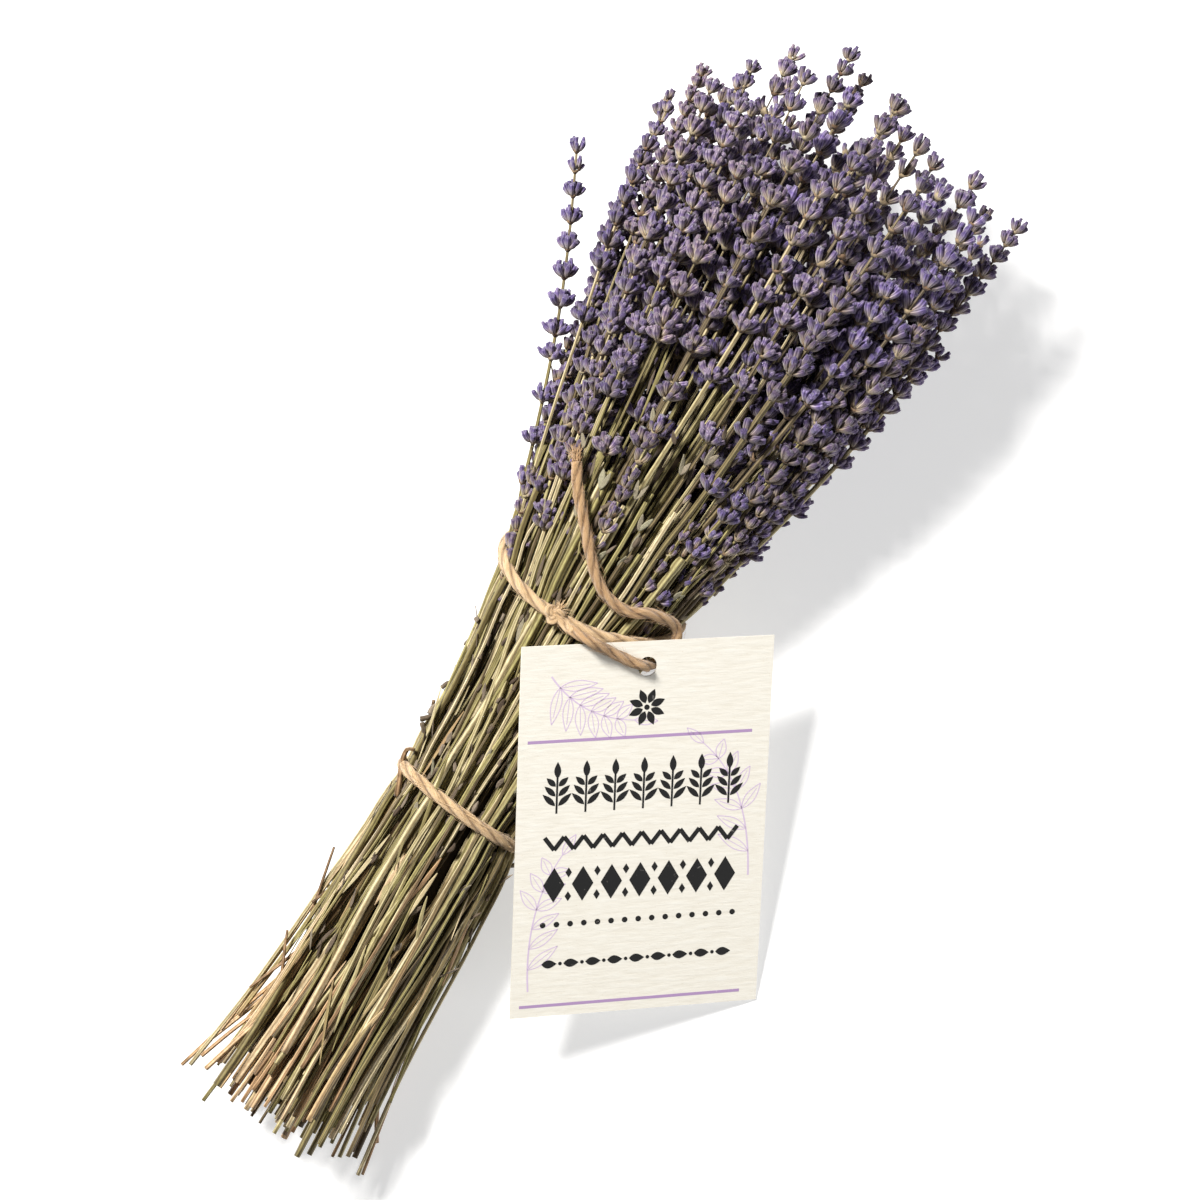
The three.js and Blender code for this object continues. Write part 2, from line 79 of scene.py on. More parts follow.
# How far the stems are drawn in at a tie and stand out beside it, and over what length.
TIE_PULL = 0.75
PULL_REACH = 6
TIE_SWELL = 0.25
SWELL_AT = 12
SWELL_REACH = 8

CARD_WIDTH = 75
CARD_LENGTH = 111
CARD_THICKNESS = 0.6
CARD_CORNER = (-22.4, 8)
CARD_LOW = 0.35
CARD_SLOPE = (0.075, 0.418)
CARD_TURN = np.radians(60.2)
# The card is flat at this share of its length, and its bow starts this far from its top edge.
CARD_FLAT_AT = 0.45
CARD_TOP = 30
HOLE_ACROSS = 37.2
HOLE_DOWN = 7.4
HOLE_R = 2.9
MM = 0.001


def unit(v):
    v = np.asarray(v, float)
    return v / np.linalg.norm(v, axis=-1, keepdims=True)


def smooth(t):
    t = np.clip(t, 0, 1)
    return t * t * (3 - 2 * t)


def angles_of(sides):
    return np.arange(sides) / sides * TURN


def polar(rho, angle):
    return rho * np.cos(angle), rho * np.sin(angle)


def turned(angle, first, second):
    """Directions at an angle from the first towards the second."""
    return np.cos(angle)[..., None] * first + np.sin(angle)[..., None] * second


def section(x):
    """Half width, half depth and height of the middle at each x, on the same smooth curve as the solids."""
    x = np.asarray(x, float)
    last = len(PROFILE) - 2
    i = np.clip(np.searchsorted(PROFILE[:, 0], x, side="left") - 1, 0, last)
    p0, p1 = PROFILE[np.maximum(i - 1, 0)], PROFILE[i]
    p2, p3 = PROFILE[i + 1], PROFILE[np.minimum(i + 2, last + 1)]
    span = (p2[..., 0] - p1[..., 0])[..., None]
    t = (x - p1[..., 0])[..., None] / span
    before = (p2 - p0) / (p2[..., :1] - p0[..., :1]) * span
    after = (p3 - p1) / (p3[..., :1] - p1[..., :1]) * span
    value = ((2 * t**3 - 3 * t**2 + 1) * p1 + (t**3 - 2 * t**2 + t) * before
             + (3 * t**2 - 2 * t**3) * p2 + (t**3 - t**2) * after)
    return value[..., 1], value[..., 2], value[..., 3]


# --------------- the card's frame, and the whole bunch's place

card_face = unit([-CARD_SLOPE[0], -CARD_SLOPE[1], 1])
card_level = unit([1, 0, CARD_SLOPE[0]])
card_side = np.cross(card_face, card_level)
card_across = card_level * np.cos(CARD_TURN) - card_side * np.sin(CARD_TURN)
card_down = np.cross(card_across, card_face)
card_drop = (card_across * CARD_WIDTH + card_down * CARD_LENGTH)[2]
card_corner = np.array([*CARD_CORNER, CARD_LOW - card_drop])


def on_card(across, down, above):
    """A point of the card in the bunch's own millimetres. The card bows a little away from its middle."""
    across, down, above = np.broadcast_arrays(*(np.asarray(a, float) for a in (across, down, above)))
    bow = -(down / CARD_LENGTH - CARD_FLAT_AT) ** 2 * np.clip(down / CARD_TOP, 0, 1)
    return (card_corner + across[..., None] * card_across + down[..., None] * card_down
            + (above + bow)[..., None] * card_face)


card_high_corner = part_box("tag_card")[1]
SHIFT = np.array([
    card_high_corner[0] / MM - (card_corner + card_across * CARD_WIDTH)[0],
    card_high_corner[1] / MM - card_corner[1],
    0,
])


def to_frame(points):
    """From the bunch's own millimetres to the frame's metres."""
    return (np.asarray(points, float) + SHIFT) * MM


# --------------- camera and light

# The camera looks straight down. A picture point is this wide at this height over the floor.
PIXEL = 0.285
SCALE_HEIGHT = 30
PICTURE = 1200
SENSOR = 36
CAMERA_HEIGHT = 1000
CAMERA_OVER = np.array([0, -4.3, CAMERA_HEIGHT])
CAMERA_ACROSS = unit([0.507, -0.862, 0])
CAMERA_UP = unit([0.862, 0.507, 0])
WORLD_LIGHT = 0.1


def place_object(data, place, side, up, back):
    """Puts a camera or a light at a place in metres, with its own axes along side, up and back."""
    made = bpy.data.objects.new(data.name, data)
    made.matrix_world = Matrix.Translation(place) @ Matrix([side, up, back]).transposed().to_4x4()
    bpy.context.scene.collection.objects.link(made)
    return made


def add_light(name, across, up, height, size, power, colour):
    """A square light, turned to the bunch's middle. It is so many metres to the picture's right, to its top
    and over the floor from there."""
    light = bpy.data.lights.new(name, "AREA")
    light.energy = power
    light.color = colour
    light.size = size
    place = CAMERA_ACROSS * across + CAMERA_UP * up + np.array([0, 0, height])
    back = unit(place)
    side = unit(np.cross(CAMERA_UP, back))
    place_object(light, place, side, np.cross(back, side), back)


camera = bpy.data.cameras.new("camera")
camera.sensor_width = SENSOR
camera.lens = SENSOR * (CAMERA_HEIGHT - SCALE_HEIGHT) / (PICTURE * PIXEL)
bpy.context.scene.camera = place_object(camera, to_frame(CAMERA_OVER), CAMERA_ACROSS, CAMERA_UP, (0, 0, 1))
add_light("key", -0.6, 0.7, 1.1, size=0.26, power=43, colour=(1.0, 0.98, 0.95))
add_light("fill", 1.3, -0.7, 0.7, size=1.2, power=13, colour=(0.97, 0.98, 1.0))

world = bpy.data.worlds.new("studio")
world.use_nodes = True
world.node_tree.nodes["Background"].inputs["Color"].default_value = (1, 1, 1, 1)
world.node_tree.nodes["Background"].inputs["Strength"].default_value = WORLD_LIGHT
bpy.context.scene.world = world
bpy.context.scene.view_settings.view_transform = "Standard"


# --------------- materials

class Surface:
    """A node material, with short ways to add the nodes that these surfaces share."""

    def __init__(self, name, roughness, sheen=0.0):
        self.material = bpy.data.materials.new(name)
        self.material.use_nodes = True
        self.tree = self.material.node_tree
        self.shader = self.tree.nodes["Principled BSDF"]
        self.shader.inputs["Roughness"].default_value = roughness
        self.shader.inputs["Sheen Weight"].default_value = sheen
        self.shader.inputs["Specular IOR Level"].default_value = 0.3

    def node(self, kind, settings=None, **values):
        made = self.tree.nodes.new("ShaderNode" + kind)
        for key, value in (settings or {}).items():
            setattr(made, key, value)
        for key, value in values.items():
            self.feed(made.inputs[key], value)
        return made

    def feed(self, socket, value):
        if isinstance(value, bpy.types.NodeSocket):
            self.tree.links.new(value, socket)
        else:
            socket.default_value = value

    def attributes(self, *names):
        return [self.node("Attribute", {"attribute_name": name}).outputs["Fac"] for name in names]

    def uv(self):
        return self.node("UVMap").outputs["UV"]

    def noise(self, vector, scale, detail, roughness=0.5):
        made = self.node("TexNoise", Vector=vector, Scale=scale, Detail=detail, Roughness=roughness)
        return made.outputs["Fac"]

    def grain(self, across, along, *noise):
        """Noise over the UV map, with other scales across a piece and along it."""
        mapping = self.node("Mapping", Vector=self.uv(), Scale=(across, along, 1))
        return self.noise(mapping.outputs["Vector"], *noise)

    def math(self, operation, a, b=0.0):
        made = self.node("Math", {"operation": operation})
        self.feed(made.inputs[0], a)
        self.feed(made.inputs[1], b)
        return made.outputs["Value"]

    def plus(self, a, b, share, middle=0.0):
        """a and a share of what b is over its middle."""
        if middle:
            b = self.math("SUBTRACT", b, middle)
        return self.math("ADD", a, self.math("MULTIPLY", b, share))

    def ramp(self, factor, *stops):
        """Colours along a factor. A single number stands for a grey."""
        made = self.node("ValToRGB", Fac=factor)
        elements = made.color_ramp.elements
        while len(elements) < len(stops):
            elements.new(0.5)
        for element, (position, colour) in zip(elements, stops):
            element.position = position
            element.color = (*np.broadcast_to(colour, 3), 1)
        return made.outputs["Color"]

    def mix(self, factor, a, b, blend="MIX"):
        made = self.node("Mix", {"data_type": "RGBA", "blend_type": blend})
        self.feed(made.inputs[0], factor)
        self.feed(made.inputs[6], a)
        self.feed(made.inputs[7], b)
        return made.outputs[2]

    def tint(self, amount, colour, by, *stops):
        """The colour times those of a ramp, as far as amount says."""
        return self.mix(amount, colour, self.ramp(by, *stops), "MULTIPLY")

    def finish(self, colour, bump=None, strength=0.0, distance=0.0):
        self.feed(self.shader.inputs["Base Color"], colour)
        if bump is not None:
            made = self.node("Bump", Height=bump, Strength=strength, Distance=distance)
            self.feed(self.shader.inputs["Normal"], made.outputs["Normal"])
        return self.material


def stem_material():
    """Olive to straw along its length, brown at the cut end and greyer in the head."""
    s = Surface("dried_stem", 0.55, sheen=0.1)
    tone, along, groove, fresh = s.attributes("tone", "along", "groove", "fresh")
    streak = s.grain(9, 0.12, 4.0, 4.0, 0.6)
    blotch = s.grain(0.4, 0.05, 3.0, 2.0)
    green = s.ramp(
        tone,
        (0.0, (0.10, 0.07, 0.045)), (0.2, (0.20, 0.155, 0.08)), (0.4, (0.28, 0.24, 0.105)),
        (0.6, (0.37, 0.335, 0.145)), (0.8, (0.50, 0.44, 0.25)), (1.0, (0.72, 0.63, 0.45)),
    )
    cut = s.ramp(
        tone,
        (0.0, (0.27, 0.17, 0.10)), (0.3, (0.46, 0.29, 0.165)),
        (0.65, (0.66, 0.44, 0.27)), (1.0, (0.78, 0.60, 0.42)),
    )
    head = s.ramp(tone, (0.0, (0.12, 0.09, 0.07)), (0.5, (0.34, 0.28, 0.19)), (1.0, (0.62, 0.52, 0.39)))
    reach = s.plus(s.plus(along, blotch, 0.2, middle=0.5), fresh, 0.5)
    to_cut = s.ramp(reach, (0.16, 1), (0.34, 0))
    to_head = s.ramp(along, (0.6, 0), (0.8, 0.85))
    colour = s.mix(to_head, s.mix(to_cut, green, cut), head)
    colour = s.tint(0.7, colour, streak, (0.32, (0.3, 0.29, 0.25)), (0.66, (1.35, 1.35, 1.3)))
    colour = s.tint(0.45, colour, blotch, (0.3, (0.5, 0.46, 0.38)), (0.7, (1.25, 1.25, 1.2)))
    # Painted highlight on the stem's ridges and painted shade in the grooves between them.
    colour = s.tint(0.9, colour, groove, (0.1, (1.2, 1.2, 1.15)), (0.9, (0.34, 0.28, 0.2)))
    return s.finish(colour, streak, 0.5, 0.00015)


CALYX_RIB_STRIPES = 8


def calyx_material():
    """Straw at its foot and violet at its mouth, with painted highlight and shade in stripes along it."""
    s = Surface("dried_calyx", 0.72, sheen=0.25)
    tone, hue, groove = s.attributes("tone", "hue", "groove")
    parts = s.node("SeparateXYZ", Vector=s.uv()).outputs
    grain = s.grain(14, 1.6, 2.0, 3.0, 0.6)
    # Stripes round the calyx: a painted highlight on each rib and painted shade between the ribs.
    rib_light = s.math("SINE", s.math("MULTIPLY", parts["X"], CALYX_RIB_STRIPES * TURN))
    colour = s.ramp(
        s.plus(parts["Y"], tone, 0.4, middle=0.5),
        (0.0, (0.17, 0.105, 0.06)), (0.1, (0.32, 0.26, 0.175)), (0.34, (0.325, 0.285, 0.225)),
        (0.56, (0.255, 0.22, 0.24)), (0.76, (0.155, 0.12, 0.21)), (0.92, (0.085, 0.06, 0.15)),
        (1.0, (0.17, 0.14, 0.215)),
    )
    warm, plain, cool = (1.02, 0.98, 0.78), (1.0, 1.0, 0.98), (0.92, 0.92, 1.16)
    colour = s.tint(1.0, colour, hue, (0.0, warm), (0.45, plain), (1.0, cool))
    colour = s.tint(0.7, colour, grain, (0.32, (0.5, 0.47, 0.52)), (0.52, 1), (0.75, (1.6, 1.55, 1.45)))
    # Painted shade in the grooves of the barrel and a painted highlight on its ridges.
    colour = s.tint(0.85, colour, groove, (0.1, (1.25, 1.25, 1.22)), (0.9, (0.5, 0.44, 0.56)))
    rib_light = s.math("ADD", rib_light, 0.5)
    colour = s.tint(0.8, colour, rib_light, (0.0, (0.52, 0.46, 0.56)), (1.0, (1.42, 1.42, 1.36)))
    colour = s.tint(0.85, colour, tone, (0.0, (0.5, 0.46, 0.54)), (0.55, 1), (1.0, (1.6, 1.58, 1.46)))
    return s.finish(colour, grain, 0.6, 0.00025)


def bract_material():
    s = Surface("dried_bract", 0.7, sheen=0.1)
    tone, groove = s.attributes("tone", "groove")
    grain = s.grain(10, 1.5, 2.0, 3.0)
    colour = s.ramp(tone, (0.0, (0.13, 0.07, 0.04)), (0.5, (0.25, 0.165, 0.095)), (1.0, (0.38, 0.32, 0.20)))
    colour = s.tint(0.6, colour, grain, (0.3, 0.5), (0.7, 1.3))
    # Painted shade inside the cup and at its foot.
    colour = s.tint(0.5, colour, groove, (0.0, 1.1), (1.0, 0.5))
    return s.finish(colour, grain, 0.5, 0.0002)


def leaf_material():
    s = Surface("dried_leaf", 0.75, sheen=0.05)
    tone, groove = s.attributes("tone", "groove")
    grain = s.grain(5, 0.6, 3.0, 4.0, 0.6)
    colour = s.ramp(
        tone,
        (0.0, (0.07, 0.045, 0.03)), (0.4, (0.16, 0.12, 0.085)),
        (0.7, (0.27, 0.215, 0.165)), (1.0, (0.34, 0.32, 0.22)),
    )
    colour = s.tint(0.7, colour, grain, (0.3, (0.45, 0.45, 0.42)), (0.7, (1.35, 1.35, 1.3)))
    # Painted shade in the channel along the leaf and on its inner face, and a painted highlight on its edges.
    colour = s.tint(0.6, colour, groove, (0.0, 1.15), (1.0, (0.45, 0.45, 0.42)))
    return s.finish(colour, grain, 0.7, 0.0003)


def twine_material(name, tint):
    s = Surface(name, 0.8, sheen=0.3)
    [groove] = s.attributes("groove")
    fibre = s.grain(8, 0.35, 5.0, 5.0, 0.65)
    patch = s.grain(0.6, 0.08, 3.0, 2.0)
    stops = [
        (0.28, (0.25, 0.13, 0.055)), (0.45, (0.50, 0.33, 0.17)),
        (0.58, (0.68, 0.50, 0.29)), (0.78, (0.90, 0.76, 0.53)),
    ]
    colour = s.ramp(fibre, *((place, np.array(shade) * tint) for place, shade in stops))
    colour = s.tint(0.4, colour, patch, (0.3, (0.7, 0.62, 0.5)), (0.7, 1.2))
    # Painted shade in the creases between the plies and a painted highlight on their crowns.
    colour = s.tint(0.8, colour, groove, (0.15, (1.12, 1.12, 1.1)), (0.8, (0.27, 0.2, 0.14)))
    return s.finish(colour, fibre, 0.9, 0.0004)


def card_material():
    s = Surface("uncoated_card", 0.82)
    flow = s.grain(0.9, 5.5, 1.5, 5.0, 0.65)
    speck = s.grain(6, 9, 3.0, 2.0)
    dark, middle, light = (0.67, 0.635, 0.555), (0.71, 0.68, 0.605), (0.74, 0.72, 0.655)
    colour = s.ramp(flow, (0.3, dark), (0.5, middle), (0.72, light))
    colour = s.tint(0.5, colour, speck, (0.27, (0.72, 0.6, 0.45)), (0.33, 1))
    return s.finish(colour, flow, 0.35, 0.0004)


def ink_material(name, colour, worn):
    s = Surface(name, 0.7)
    gap = s.grain(1.3, 1.3, 3.0, 4.0, 0.7)
    return s.finish(s.ramp(gap, (0.30, worn), (0.36, colour)), gap, 0.15, 0.0001)


def floor_material():
    """The floor glows a little, which keeps its shadow pale."""
    s = Surface("pale_floor", 0.75)
    cloud = s.noise(s.node("TexCoord").outputs["Object"], 3.0, 2.0)
    s.shader.inputs["Emission Color"].default_value = (1, 1, 1, 1)
    s.shader.inputs["Emission Strength"].default_value = 0.5
    return s.finish(s.ramp(cloud, (0.3, 0.60), (0.7, 0.62)))


STEM = stem_material()
CALYX = calyx_material()
BRACT = bract_material()
LEAF = leaf_material()
TWINE = twine_material("jute_twine", (1, 1, 1.02))
STRING = twine_material("jute_string", (0.76, 0.68, 0.62))
CARD = card_material()
BLACK_INK = ink_material("black_ink", (0.007, 0.007, 0.007), (0.16, 0.15, 0.14))
LILAC_INK = ink_material("lilac_ink", (0.36, 0.24, 0.42), (0.55, 0.44, 0.57))
FAINT_INK = ink_material("faint_lilac_ink", (0.56, 0.45, 0.60), (0.68, 0.59, 0.66))


# --------------- meshes

def fill(data, name, values, kind=np.float32):
    data.foreach_set(name, values.astype(kind).ravel())


class Pile:
    """Points, faces and their values, gathered for one mesh."""

    def __init__(self):
        self.points, self.faces, self.materials = [], [], []
        self.uvs, self.values, self.count = [], [], 0

    def add(self, points, faces, uvs, material=0, **values):
        """Points in millimetres. faces is a list of arrays, each with rows of three or four indices."""
        points = np.asarray(points, float).reshape(-1, 3)
        for rows in faces:
            self.faces.append(np.asarray(rows) + self.count)
            self.materials.append(np.full(len(rows), material))
        self.points.append(points)
        self.uvs.append(np.broadcast_to(uvs, (len(points), 2)))
        self.values.append({key: np.broadcast_to(v, len(points)) for key, v in values.items()})
        self.count += len(points)

    def build(self, name, materials, smooth=True):
        points = to_frame(np.concatenate(self.points))
        sizes = np.concatenate([np.full(len(f), f.shape[1]) for f in self.faces])
        corners = np.concatenate([f.ravel() for f in self.faces])
        mesh = bpy.data.meshes.new(name)
        mesh.vertices.add(len(points))
        fill(mesh.vertices, "co", points)
        mesh.loops.add(len(corners))
        fill(mesh.loops, "vertex_index", corners, np.int32)
        mesh.polygons.add(len(sizes))
        fill(mesh.polygons, "loop_start", np.cumsum(sizes) - sizes, np.int32)
        fill(mesh.polygons, "material_index", np.concatenate(self.materials), np.int32)
        fill(mesh.polygons, "use_smooth", np.full(len(sizes), smooth), bool)
        mesh.update(calc_edges=True)
        fill(mesh.uv_layers.new(name="UVMap").data, "uv", np.concatenate(self.uvs)[corners])
        for key in self.values[0]:
            layer = mesh.attributes.new(key, "FLOAT", "POINT")
            fill(layer.data, "value", np.concatenate([v[key] for v in self.values]))
        mesh.validate()
        for material in materials:
            mesh.materials.append(material)
        made = bpy.data.objects.new(name, mesh)
        bpy.context.scene.collection.objects.link(made)
        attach(made, "root")
        return made


def ring_faces(rings, sides, closed=False):
    """Quads between rings of points that run anticlockwise as seen from the last ring."""
    here = (np.arange(rings if closed else rings - 1) * sides)[:, None]
    after = (here + sides) % (rings * sides)
    k = np.arange(sides)
    next_k = (k + 1) % sides
    return np.stack([here + k, here + next_k, after + next_k, after + k], -1).reshape(-1, 4)


def fan_faces(start, sides, hub, forward):
    """Triangles that close a ring at a middle point."""
    k = np.arange(sides)
    rows = np.stack([start + k, start + (k + 1) % sides, np.full(sides, hub)], -1)
    return rows if forward else rows[:, ::-1]


def tube_faces(rings, sides):
    """The faces of a tube: its points are its rings and then a middle point at its start and at its end."""
    hub = rings * sides
    return [
        ring_faces(rings, sides),
        fan_faces(0, sides, hub, False),
        fan_faces(hub - sides, sides, hub + 1, True),
    ]


def add_tube(pile, rings, ends, uv, material=0, **values):
    """Rings of points, closed round the two points in ends. uv has rows for the rings and then the ends."""
    points = np.concatenate([rings.reshape(-1, 3), ends])
    pile.add(points, tube_faces(*rings.shape[:2]), uv, material, **values)


def ring_uv(u, v):
    """The UV rows of rings of points: u for each point of a ring, and v for each ring."""
    return np.stack(np.broadcast_arrays(u, np.reshape(v, (-1, 1))), -1).reshape(-1, 2)


def with_ends(rows):
    """Adds the first row and the last one again, for a tube's two ends."""
    return np.concatenate([rows, rows[[0, -1]]])


def along_loop(path):
    """The way that a closed path runs at each of its points."""
    return unit(np.roll(path, -1, 0) - np.roll(path, 1, 0))


def frames_along(path, closed=False):
    """Directions along a path, and two across it that don't twist."""
    along = along_loop(path) if closed else unit(np.gradient(path, axis=0))
    across = np.empty_like(along)
    seed = np.array([0.0, 0, 1]) if abs(along[0, 2]) < 0.8 else np.array([0.0, 1, 0])
    current = unit(np.cross(seed, along[0]))
    for i, t in enumerate(along):
        current = unit(current - t * current.dot(t))
        across[i] = current
    if closed:
        # What the frame has turned by over the loop is spread along it.
        back = unit(current - along[0] * current.dot(along[0]))
        angle = np.arctan2(np.dot(np.cross(back, across[0]), along[0]), back.dot(across[0]))
        share = np.arange(len(path)) / len(path) * angle
        across = turned(share, across, np.cross(along, across))
    return across, np.cross(along, across)


def rings_on(path, across, other, wide, high):
    """Rings of points round a path: wide along across, and high along other."""
    return path[:, None] + wide[..., None] * across + high[..., None] * other


def tube_points(path, radius, angles, closed=False):
    """Round rings on a path. radius and angles have a row for each ring, or one for all of them."""
    across, other = frames_along(path, closed)
    return rings_on(path, across[:, None], other[:, None], *polar(radius, angles))


def lengths_along(path):
    return np.concatenate([[0], np.cumsum(np.linalg.norm(np.diff(path, axis=0), axis=1))])


def points_at(s, lengths, path):
    """A path's points at lengths s along it."""
    return np.stack([np.interp(s, lengths, path[:, k]) for k in range(3)], -1)


def evenly(path, step):
    """A path's points again, at even steps."""
    lengths = lengths_along(path)
    s = np.linspace(0, lengths[-1], max(2, int(round(lengths[-1] / step)) + 1))
    return points_at(s, lengths, path)


# --------------- the lines that stems and ties follow

def tie_offset(tie, angle):
    return tie["sideways"] * np.cos(angle) - tie["back"] * np.sin(angle)


def tie_points(tie, angle, out):
    """A tie's middle line at an angle round the bunch, so far outside the section."""
    x = tie["x"] + tie_offset(tie, angle)
    half_width, half_depth, middle = section(x)
    return np.stack([x, (half_width + out) * np.cos(angle), middle + (half_depth + out) * np.sin(angle)], -1)


def stem_line(x, u, v):
    """Points at x of a stem whose place there is (u, v): drawn in at the ties, and out beside them."""
    half_width, half_depth, middle = section(x)
    angle = np.arctan2(v, u)
    pull = np.zeros_like(half_width)
    for tie in (LOWER_TIE, UPPER_TIE):
        away = np.abs(x - tie["x"] - tie_offset(tie, angle))
        pull = pull + TIE_PULL * np.exp(-(away / PULL_REACH) ** 2)
        pull = pull - TIE_SWELL * np.exp(-((away - SWELL_AT) / SWELL_REACH) ** 2)
    return np.stack([x, u * (half_width - pull), middle + v * (half_depth - pull)], -1)


# --------------- where the spikes grow

def cad_spike(name):
    """Where a spike's solid starts and ends: the ends' x and places (u, v) in the section."""
    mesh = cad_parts[name].data
    points = np.empty(len(mesh.vertices) * 3, np.float32)
    mesh.vertices.foreach_get("co", points)
    matrix = np.array(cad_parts[name].matrix_world)
    points = points.reshape(-1, 3) @ matrix[:3, :3].T + matrix[:3, 3]
    points = points / MM - SHIFT
    first = points[points[:, 0] < points[:, 0].min() + 0.6].mean(0)
    # The last point can be a crown's tip at one side, so the end is the middle of what is near it.
    last = points[points[:, 0] > points[:, 0].max() - 5].mean(0)
    last[0] = points[:, 0].max() - 0.5
    ends = []
    for point in (first, last):
        half_width, half_depth, middle = section(point[0])
        ends.append((point[0], point[1] / half_width, (point[2] - middle) / half_depth))
    return ends


SPIKE_LENGTH = 51
STRAY_SIDE = 60
# Kinds of spike, small and close, common, or large and open: how often, their size, and how far apart their
# whorls are.
KINDS = [(0.34, (0.72, 0.82), 4.6), (0.44, (0.85, 0.98), 5.8), (0.22, (0.96, 1.08), 7.2)]
FRONT_PITCH = 7.8
SHOOT_PITCH = 5
LONE_SHARE = 0.6


def spike_plan(foot, tip, length, low, size, whorls):
    """All that one flowering stem needs. foot and tip are (x, u, v), and low the x of its lone whorls. crowd
    is from how many to how many calyxes a whorl has, and spread how far they lean out."""
    tone = uniform(0.12, 0.88)
    hue = uniform(0, 1)
    bend = normal(0, 0.012)
    return dict(foot=foot, tip=tip, length=length, low=low, size=size, whorls=whorls, tone=tone, hue=hue,
                bend=bend, thick=1.0, crowd=(10, 14), spread=1.0)


def plan_place(plan, x):
    """A flowering stem's place across the bunch, on the line from its foot to its tip with a slight bow."""
    (x0, u0, v0), (x1, u1, v1) = plan["foot"], plan["tip"]
    t = np.clip((x - x0) / (x1 - x0), 0, 1)
    return u0 + (u1 - u0) * t + plan["bend"] * np.sin(np.pi * t), v0 + (v1 - v0) * t


def kind_of_spike():
    """A spike's size and how far its whorls are from each other."""
    shares, spans, pitches = zip(*KINDS)
    kind = random.choice(len(KINDS), p=shares)
    sizes = [uniform(*span) for span in spans]
    return sizes[kind], pitches[kind]


def in_front(u, v):
    """Whether a stem lies on the bunch's upper side, where long bare stems show."""
    return v > 0.3 and -0.62 < u < 0.55


def solid_spikes():
    """One for each spike's solid, in its place."""
    plans = {}
    for name in sorted(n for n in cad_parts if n.startswith("spike_")):
        foot, tip = cad_spike(name)
        size, pitch = kind_of_spike()
        size = max(size, 0.84)
        length = SPIKE_LENGTH
        low = [foot[0] + 6] if tip[0] - foot[0] > SPIKE_LENGTH + 6 else []
        if in_front(tip[1], tip[2]):
            size, pitch = uniform(0.98, 1.12), FRONT_PITCH
            length = SPIKE_LENGTH + uniform(-11, 6)
            lone = np.arange(foot[0] - 11, 34, -uniform(12, 19))
            low = low + [x for x in lone if uniform() < LONE_SHARE]
            foot = (min([foot[0], *low]) - 4, foot[1], foot[2])
        is_stray = tip[1] * section(tip[0])[0] > STRAY_SIDE
        if is_stray:
            # The lone spike at the bunch's side: long, thin and bent, with whorls all down its stem.
            low = list(np.arange(tip[0] - SPIKE_LENGTH - 4, 8, -11.5))
            foot = (8, foot[1], foot[2])
            size, pitch = 0.9, 6.2
            tip = (tip[0] + 1.5, tip[1] * 1.04, tip[2])
        plans[name] = spike_plan(foot, tip, length, low, size, round(length / pitch))
        if is_stray:
            plans[name].update(bend=-0.075, thick=0.72)
    return plans


# How many spikes are added, short ones, shoots, and calyxes that have come off.
BETWEEN = 92
SHORT = 58
SHOOTS = 20
BUDS = 60
DRY_BUDS = 300
EDGE_BUDS = 44
# Tips reach this x in the middle of the head and come so much less far at its outline, staggered by so much.
HEAD_REACH = 172
RIM_BACK = 28
STAGGER = (6, 62)
SHORT_TIPS = (38, 104)
FRONT_TIPS_FROM = 112
# Lengths of spikes.
LONG = (38, 62)
FRONT = (28, 44)
STUMPY = (14, 34)
# What x, u and v count for in the gap between two tips.
GAP_SCALE = np.array([0.35, 49, 34.5])
TRIES = 40


def widest_gap(places, is_short):
    """Of some chance tips, the one that is furthest from those that are there."""
    widest = 0
    for _ in range(TRIES):
        rho, angle = np.sqrt(uniform(0.12, 0.97)), uniform(0, TURN)
        u, v = polar(rho, angle)
        if is_short:
            x = uniform(*SHORT_TIPS)
        else:
            x = HEAD_REACH - RIM_BACK * rho**2.5 - uniform(*STAGGER)
        if in_front(u, v) and x < FRONT_TIPS_FROM:
            continue
        gap = np.linalg.norm(np.array([x, u, v]) * GAP_SCALE - places, axis=1).min()
        if gap > widest:
            widest, tip = gap, (x, u, v)
    return tip


def between_spikes(taken):
    """More spikes where the gaps between the tips are widest, and then short ones further back."""
    places = [np.array(plan["tip"]) * GAP_SCALE for plan in taken]
    plans = []
    for i in range(BETWEEN + SHORT):
        is_short = i >= BETWEEN
        tip = widest_gap(places, is_short)
        places.append(np.array(tip) * GAP_SCALE)
        x, u, v = tip
        size, pitch = kind_of_spike()
        length = uniform(*(STUMPY if is_short else LONG))
        if in_front(u, v):
            size, pitch, length = max(size, 0.92), 7.2, uniform(*FRONT)
        low = []
        lone = x - length
        for _ in range(random.integers(0, 3)):
            lone -= uniform(9, 17)
            if lone > 8:
                low.append(lone)
        foot = (min([x - length, *low]) - 4, u, v)
        size = min(size, 0.9) if is_short else size
        plans.append(spike_plan(foot, tip, length, low, size, max(2, round(length / pitch))))
    return plans


def shoots():
    """Small slender spikes that lie on and between the tied stems."""
    plans = []
    for _ in range(SHOOTS):
        x = uniform(-14, 32)
        length = uniform(16, 32)
        angle = uniform(0, TURN)
        rho = uniform(0.93, 1.03)
        u, v = polar(rho, angle)
        size = uniform(0.72, 0.9)
        foot, tip = (x - 12, u * 0.97, v * 0.97), (x + length, u, v)
        plan = spike_plan(foot, tip, length, [], size, round(length / SHOOT_PITCH))
        plan.update(hue=uniform(0, 0.3), tone=uniform(0.15, 0.6), crowd=(4, 8), spread=0.6)
        plans.append(plan)
    return plans


# --------------- flower parts

